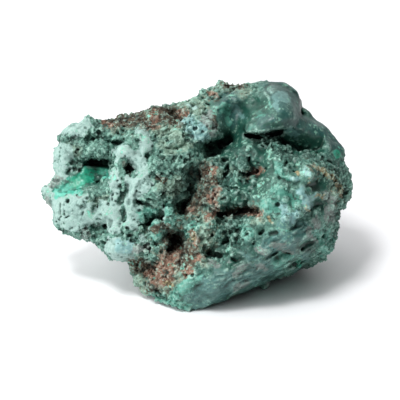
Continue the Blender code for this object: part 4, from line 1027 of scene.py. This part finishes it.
# sunk and pit: how far a point lies down in a hollow or a hole; the material darkens by them, a painted
# shade
sunk = -sampled(broad, stonePoints, coarse)
pit = -sampled(beforeHoles, stonePoints, voxel)
shares["sunk"] = smoothStep(sunk, *reliefMarks["sunk"]) * (1 - shares["emerald"]) * (1 - 0.9 * calm)
shares["pit"] = smoothStep(pit, *reliefMarks["pit"])
fine = blurred(field, reliefMarks["blur"], voxel)
fineGap = sampled(fine, stonePoints, voxel)
# ridges above the blurred surface, which the material makes paler: partly wear, partly a painted highlight
shares["edge"] = smoothStep(fineGap, *reliefMarks["edge"]) * (1 - 0.7 * shares["pale"])
# creases below the blurred surface, which the material darkens: painted shade between the crumbs
shares["creaseShade"] = smoothStep(-fineGap, *reliefMarks["creaseShade"]) * (1 - 0.5 * shares["pale"])
shares["calm"] = np.clip(calm + shares["flow"] + 0.5 * shares["waxy"] + 0.3 * shares["pale"], 0, 1)
clear = (stonePoints[:, 2] > gritClear["floor"]) & (stonePoints > boxLow + gritClear["box"]).all(axis=1)
clear &= (stonePoints < boxHigh - gritClear["box"]).all(axis=1)
dry = np.clip(1 - 1.3 * calm - 0.6 * shares["blueWhite"] - 0.85 * shares["waxy"], 0, 1) * clear
shares["rustGrit"] = np.clip(shares["rust"] + shares["brown"] + 0.35 * shares["warm"], 0, 1) * dry
shares["greenGrit"] = np.clip(1 - shares["rustGrit"] - 0.95 * shares["pale"], 0, 1) * dry
for name, values in shares.items():
    layer = stone.data.attributes.new(name, "FLOAT", "POINT")
    layer.data.foreach_set("value", values.astype(np.float32))
report("crust shares stored")

# ---- the crust material
crustShade = (0.76, 0.87, 0.88)  # darkens all the crust tones below


def linear(red, green, blue):
    # a screen colour, 0 to 255, as the shader wants it
    out = []
    for value, shade in zip((red, green, blue), crustShade):
        value /= 255
        out.append(shade * (value / 12.92 if value <= 0.04045 else ((value + 0.055) / 1.055) ** 2.4))
    return (*out, 1.0)


stoneLook = {
    # crust: dark tone, middle tone, light tone, roughness
    "base": ((34, 64, 54), (82, 122, 108), (140, 182, 164), 0.62),
    "sage": ((72, 88, 74), (126, 148, 130), (180, 198, 178), 0.75),
    "pale": ((118, 143, 135), (157, 179, 170), (187, 203, 195), 0.62),
    "glass": ((26, 56, 52), (48, 87, 81), (80, 121, 115), 0.34),
    "flow": ((41, 74, 70), (73, 113, 107), (115, 160, 152), 0.42),
    "bright": ((46, 104, 90), (88, 150, 132), (150, 204, 188), 0.48),
    "deepGreenAndShade": ((15, 41, 33), (32, 78, 65), (60, 114, 97), 0.36),
    "moss": ((20, 48, 40), (48, 90, 78), (92, 142, 128), 0.60),
    "emerald": ((20, 100, 77), (44, 150, 119), (106, 200, 176), 0.30),
    "turquoiseHighlight": ((46, 124, 104), (78, 172, 148), (136, 208, 190), 0.32),
    "brown": ((34, 26, 20), (75, 59, 46), (126, 107, 87), 0.85),
    "rust": ((74, 47, 37), (137, 97, 80), (186, 145, 124), 0.85),
    "ochre": ((98, 80, 54), (150, 128, 92), (194, 180, 150), 0.75),
    "blueWhite": ((88, 127, 125), (128, 167, 164), (180, 206, 202), 0.45),
    "highlightVeil": ((84, 118, 116), (118, 156, 152), (156, 192, 188), 0.34),
    "pinkGrey": ((84, 92, 88), (120, 127, 121), (166, 168, 160), 0.60),
    "fleck": ((84, 66, 50), (134, 110, 88), (176, 156, 132), 0.80),
    # ridge tone: partly wear, partly a painted highlight
    "ridgeWearAndHighlightTone": (188, 216, 200),
    # painted shade in the creases and in the pore dots
    "creaseAndPoreShadeTone": (20, 38, 30),
    # painted shade in the hollows and pits
    "hollowShadeTone": (30, 32, 25),
}
# the crusts lie over each other in this order, and the rusty flecks come in below the pale skin
crustOrder = ("sage", "pale", "flow", "glass", "bright", "moss", "deepGreenAndShade", "highlightVeil", "brown", "blueWhite",
              "pinkGrey", "rust", "ochre", "emerald", "turquoiseHighlight")
crustGrain = {
    # noise: scale, detail, roughness
    "mottle": (240, 5, 0.65),
    "speckle": (1000, 3, 0.65),
    "broadMottle": (75, 3, 0.55),
    "flecks": (520, 4, 0.7),
    "pores": (1500, 2, 0.6),
    "grains": 1250,
    "bumpStrength": 0.85,
    "bumpHeight": 0.3 * mm,
    "specular": 0.42,
}
stoneMaterial = bpy.data.materials.new("malachite_crust")
stoneMaterial.use_nodes = True
crustTree = stoneMaterial.node_tree
shader = crustTree.nodes["Principled BSDF"]


def put(tree, kind, inputs=None, **choices):
    # a new node, its choices, and for each of its inputs a value or the socket that feeds it
    node = tree.nodes.new(kind)
    for name, value in choices.items():
        setattr(node, name, value)
    for name, value in (inputs or {}).items():
        if isinstance(value, bpy.types.NodeSocket):
            tree.links.new(value, node.inputs[name])
        else:
            node.inputs[name].default_value = value
    return node


place = put(crustTree, "ShaderNodeTexCoord").outputs["Object"]


def noiseValue(kind):
    scale, detail, roughness = crustGrain[kind]
    given = {"Vector": place, "Scale": scale, "Detail": detail, "Roughness": roughness}
    return put(crustTree, "ShaderNodeTexNoise", given).outputs["Fac"]


def mathValue(kind, first, second):
    return put(crustTree, "ShaderNodeMath", {0: first, 1: second}, operation=kind).outputs[0]


def times(first, second):
    return mathValue("MULTIPLY", first, second)


def plus(first, second):
    return mathValue("ADD", first, second)


def swing(value, amount):
    # a noise turned to swing about zero
    return times(mathValue("SUBTRACT", value, 0.5), amount)


def attribute(name):
    return put(crustTree, "ShaderNodeAttribute", attribute_name=name).outputs["Fac"]


def mixColour(share, first, second):
    return put(crustTree, "ShaderNodeMix", {0: share, 6: first, 7: second}, data_type="RGBA").outputs[2]


def mixValue(share, first, second):
    return put(crustTree, "ShaderNodeMix", {0: share, 2: first, 3: second}).outputs[0]


def mapRange(value, low, high, toLow=0.0, toHigh=1.0):
    given = {"Value": value, "From Min": low, "From Max": high, "To Min": toLow, "To Max": toHigh}
    return put(crustTree, "ShaderNodeMapRange", given).outputs["Result"]


mottle, speckle, broadMottle = (noiseValue(kind) for kind in ("mottle", "speckle", "broadMottle"))
grains = put(crustTree, "ShaderNodeTexVoronoi", {"Vector": place, "Scale": crustGrain["grains"]})
grainTone = put(crustTree, "ShaderNodeSeparateColor", {0: grains.outputs["Color"]}).outputs[0]
fineTone = plus(swing(speckle, 0.34), swing(grainTone, 0.12))
fineTone = times(fineTone, mapRange(attribute("calm"), 0.0, 1.0, 1.0, 0.35))
tone = plus(plus(times(mottle, 0.42), times(broadMottle, 0.20)), 0.19)
tone = mapRange(plus(plus(tone, fineTone), attribute("grainTone")), 0.37, 0.63)


def crustColour(kind):
    # its dark, middle and light tones, by the tone of the place
    node = put(crustTree, "ShaderNodeValToRGB", {0: tone})
    node.color_ramp.elements.new(0.5)
    for element, screenColour in zip(node.color_ramp.elements, stoneLook[kind][:3]):
        element.color = linear(*screenColour)
    return node.outputs[0]


colour = crustColour("base")
gloss = stoneLook["base"][3]
breakup = plus(plus(swing(mottle, 2.4), swing(speckle, 1.8)), swing(grainTone, 0.3))
fleckShare = times(mapRange(noiseValue("flecks"), 0.52, 0.62), attribute("warm"))
for kind in crustOrder:
    if kind == "pale":
        colour = mixColour(times(fleckShare, 0.75), colour, crustColour("fleck"))
    # the painted highlight veil is laid at most 0.6 strong
    share = mapRange(plus(attribute(kind), breakup), 0.30, 0.78, 0.0, 0.6 if kind == "highlightVeil" else 1.0)
    colour = mixColour(share, colour, crustColour(kind))
    gloss = mixValue(share, gloss, stoneLook[kind][3])

# paler ridges, partly wear and partly a painted highlight
edge = times(attribute("edge"), mapRange(speckle, 0.38, 0.6))
# dark dots where the crust is rough: a painted shade of tiny pits, with no pit cut in the surface
poreShadeShare = times(mapRange(noiseValue("pores"), 0.60, 0.68), mapRange(mottle, 0.40, 0.56, 1.0, 0.15))
dryness = times(mapRange(gloss, 0.38, 0.58), mapRange(attribute("pale"), 0.0, 1.0, 1.0, 0.35))
# painted shade in the hollows and pits
hollowShade = mathValue("MAXIMUM", attribute("sunk"), attribute("pit"))
# paler ridges, then painted shade in the creases, in the pore dots and in the hollows
for share, strength, tint in (
    (edge, 0.55, "ridgeWearAndHighlightTone"),
    (attribute("creaseShade"), 0.6, "creaseAndPoreShadeTone"),
    (times(poreShadeShare, dryness), 0.7, "creaseAndPoreShadeTone"),
    (hollowShade, 0.38, "hollowShadeTone"),
):
    colour = mixColour(times(share, strength), colour, linear(*stoneLook[tint]))

bumpHeight = plus(speckle, times(mottle, 0.8))
bumpHeight = mathValue("SUBTRACT", bumpHeight, times(grains.outputs["Distance"], 0.5))
rough = times(mapRange(gloss, 0.3, 0.6, 0.12, 1.0), mapRange(attribute("pale"), 0.0, 1.0, 1.0, 0.5))
bump = put(crustTree, "ShaderNodeBump", {
    "Strength": crustGrain["bumpStrength"],
    "Distance": crustGrain["bumpHeight"],
    "Height": times(bumpHeight, rough),
})
for output, name in ((colour, "Base Color"), (gloss, "Roughness"), (bump.outputs["Normal"], "Normal")):
    crustTree.links.new(output, shader.inputs[name])
shader.inputs["Specular IOR Level"].default_value = crustGrain["specular"]

stone.data.materials.clear()
stone.data.materials.append(stoneMaterial)
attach(stone, "root")
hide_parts("malachite_stone")
report("stone dressed")

# ---- loose grit that sits on the crusts
grit = {
    # piece: the crust share it follows, grains per square metre, least and greatest radius, seed
    "rust_grit": ("rustGrit", 1.5e6, 0.15 * mm, 0.38 * mm, 3),
    "green_grit": ("greenGrit", 0.75e6, 0.15 * mm, 0.40 * mm, 4),
}
grainShades = (-0.08, 0.12)  # how much darker or lighter than the crust a grain may be


def gritTree():
    # points over the faces, an angular grain on each, made real
    tree = bpy.data.node_groups.new("grit", "GeometryNodeTree")
    labels = {"Geometry": "Geometry", "Share": "String", "Per Area": "Float", "Least": "Float",
              "Most": "Float", "Seed": "Int", "Finish": "Material"}
    for label, kind in labels.items():
        tree.interface.new_socket(label, in_out="INPUT", socket_type="NodeSocket" + kind)
    tree.interface.new_socket("Geometry", in_out="OUTPUT", socket_type="NodeSocketGeometry")
    given = put(tree, "NodeGroupInput").outputs
    seed = given["Seed"]
    share = put(tree, "GeometryNodeInputNamedAttribute", {"Name": given["Share"]}, data_type="FLOAT")
    factors = {0: share.outputs["Attribute"], 1: given["Per Area"]}
    amount = put(tree, "ShaderNodeMath", factors, operation="MULTIPLY").outputs[0]
    spread = {"Mesh": given["Geometry"], "Density": amount, "Seed": seed}
    points = put(tree, "GeometryNodeDistributePointsOnFaces", spread)
    sizes = {"Min": given["Least"], "Max": given["Most"], "Seed": seed}
    size = put(tree, "FunctionNodeRandomValue", sizes, data_type="FLOAT_VECTOR")
    turns = {"Max": (math.tau, math.tau, math.tau), "Seed": seed}
    turn = put(tree, "FunctionNodeRandomValue", turns, data_type="FLOAT_VECTOR")
    grain = put(tree, "GeometryNodeMeshIcoSphere", {"Radius": 1.0, "Subdivisions": 1})
    placed = put(tree, "GeometryNodeInstanceOnPoints", {
        "Points": points.outputs["Points"],
        "Instance": grain.outputs["Mesh"],
        "Rotation": turn.outputs["Value"],
        "Scale": size.outputs["Value"],
    })
    shade = put(tree, "FunctionNodeRandomValue", dict(zip(("Min", "Max"), grainShades)), data_type="FLOAT")
    shades = {
        "Name": "grainTone",
        "Geometry": placed.outputs["Instances"],
        "Value": next(socket for socket in shade.outputs if socket.enabled),
    }
    stored = put(tree, "GeometryNodeStoreNamedAttribute", shades, data_type="FLOAT", domain="INSTANCE")
    real = put(tree, "GeometryNodeRealizeInstances", {"Geometry": stored.outputs["Geometry"]})
    finished = {"Geometry": real.outputs["Geometry"], "Material": given["Finish"]}
    finish = put(tree, "GeometryNodeSetMaterial", finished)
    put(tree, "NodeGroupOutput", {"Geometry": finish.outputs["Geometry"]})
    return tree


grains = gritTree()
sockets = {item.name: item.identifier for item in grains.interface.items_tree if item.in_out == "INPUT"}
for name, (share, perArea, least, most, seed) in grit.items():
    carrier = bpy.data.objects.new("carrier", stone.data)
    bpy.context.scene.collection.objects.link(carrier)
    scatter = carrier.modifiers.new("grit", "NODES")
    scatter.node_group = grains
    given = {"Share": share, "Per Area": perArea, "Least": least, "Most": most, "Seed": seed}
    for label, value in {**given, "Finish": stoneMaterial}.items():
        scatter[sockets[label]] = value
    evaluated = carrier.evaluated_get(bpy.context.evaluated_depsgraph_get())
    piece = bpy.data.objects.new(name, bpy.data.meshes.new_from_object(evaluated))
    bpy.data.objects.remove(carrier)
    keepInBox(piece.data)
    bpy.context.scene.collection.objects.link(piece)
    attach(piece, "root")
    report(f"{name}: {len(piece.data.polygons)} faces")

# ---- floor, lights and camera
studio = {
    "floorColour": (0.88, 0.88, 0.90, 1.0),
    "floorRoughness": 0.6,
    "floorHalf": 1.6,
    "skyTowards": (-0.75, 0.50, 0.40),  # where the sky is brightest
    "skyFrom": -0.3,
    "skyDim": 0.05,
    "skyBright": 1.7,
    "keyPower": 2.3,
    "keySize": (0.13, 0.13),
    "keyPlace": (-0.13, -0.20, 0.52),
    "sidePower": 1.1,
    "sideSize": (0.34, 0.34),
    "sidePlace": (-0.40, -0.28, 0.28),
    "frameWidth": 0.120,  # what the picture's width takes in at the sheet
    "sensor": 36,
}
floorCorners = studio["floorHalf"] * np.array([(-1, -1, 0), (1, -1, 0), (1, 1, 0), (-1, 1, 0)])
floor = meshFrom("floor", floorCorners, [(0, 1, 2, 3)])
floorMaterial = bpy.data.materials.new("pale_floor")
floorMaterial.use_nodes = True
floorShader = floorMaterial.node_tree.nodes["Principled BSDF"]
floorShader.inputs["Base Color"].default_value = studio["floorColour"]
floorShader.inputs["Roughness"].default_value = studio["floorRoughness"]
floor.data.materials.append(floorMaterial)

world = bpy.data.worlds.new("studio")
bpy.context.scene.world = world
world.use_nodes = True
skyTree = world.node_tree
skyPlace = put(skyTree, "ShaderNodeTexCoord").outputs["Generated"]
skyFacing = {0: skyPlace, 1: studio["skyTowards"]}
skyTurn = put(skyTree, "ShaderNodeVectorMath", skyFacing, operation="DOT_PRODUCT").outputs["Value"]
skyLight = put(skyTree, "ShaderNodeMapRange", {
    "Value": skyTurn,
    "From Min": studio["skyFrom"],
    "From Max": 1.0,
    "To Min": studio["skyDim"],
    "To Max": studio["skyBright"],
}).outputs["Result"]
skyTree.links.new(skyLight, skyTree.nodes["Background"].inputs["Strength"])
skyTree.nodes["Background"].inputs["Color"].default_value = (1.0, 1.0, 1.0, 1.0)


def areaLight(name):
    spot = Vector(studio[name + "Place"])
    lamp = bpy.data.lights.new(name, "AREA")
    lamp.energy = studio[name + "Power"]
    lamp.shape = "RECTANGLE"
    lamp.size, lamp.size_y = studio[name + "Size"]
    obj = bpy.data.objects.new(name, lamp)
    obj.location = spot
    obj.rotation_mode = "QUATERNION"
    obj.rotation_quaternion = (spot - sheet["centre"]).to_track_quat("Z", "Y")
    bpy.context.scene.collection.objects.link(obj)


for name in ("key", "side"):
    areaLight(name)

lens = bpy.data.cameras.new("camera")
camera = bpy.data.objects.new("camera", lens)
camera.location = eye
camera.rotation_mode = "QUATERNION"
camera.rotation_quaternion = towards.to_track_quat("Z", "Y")
lens.sensor_width = studio["sensor"]
lens.lens = studio["sensor"] * sheet["eyeDistance"] / studio["frameWidth"]
lens.clip_start = 0.01
bpy.context.scene.collection.objects.link(camera)
bpy.context.scene.camera = camera
bpy.context.scene.view_settings.view_transform = "Standard"

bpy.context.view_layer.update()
report("done")
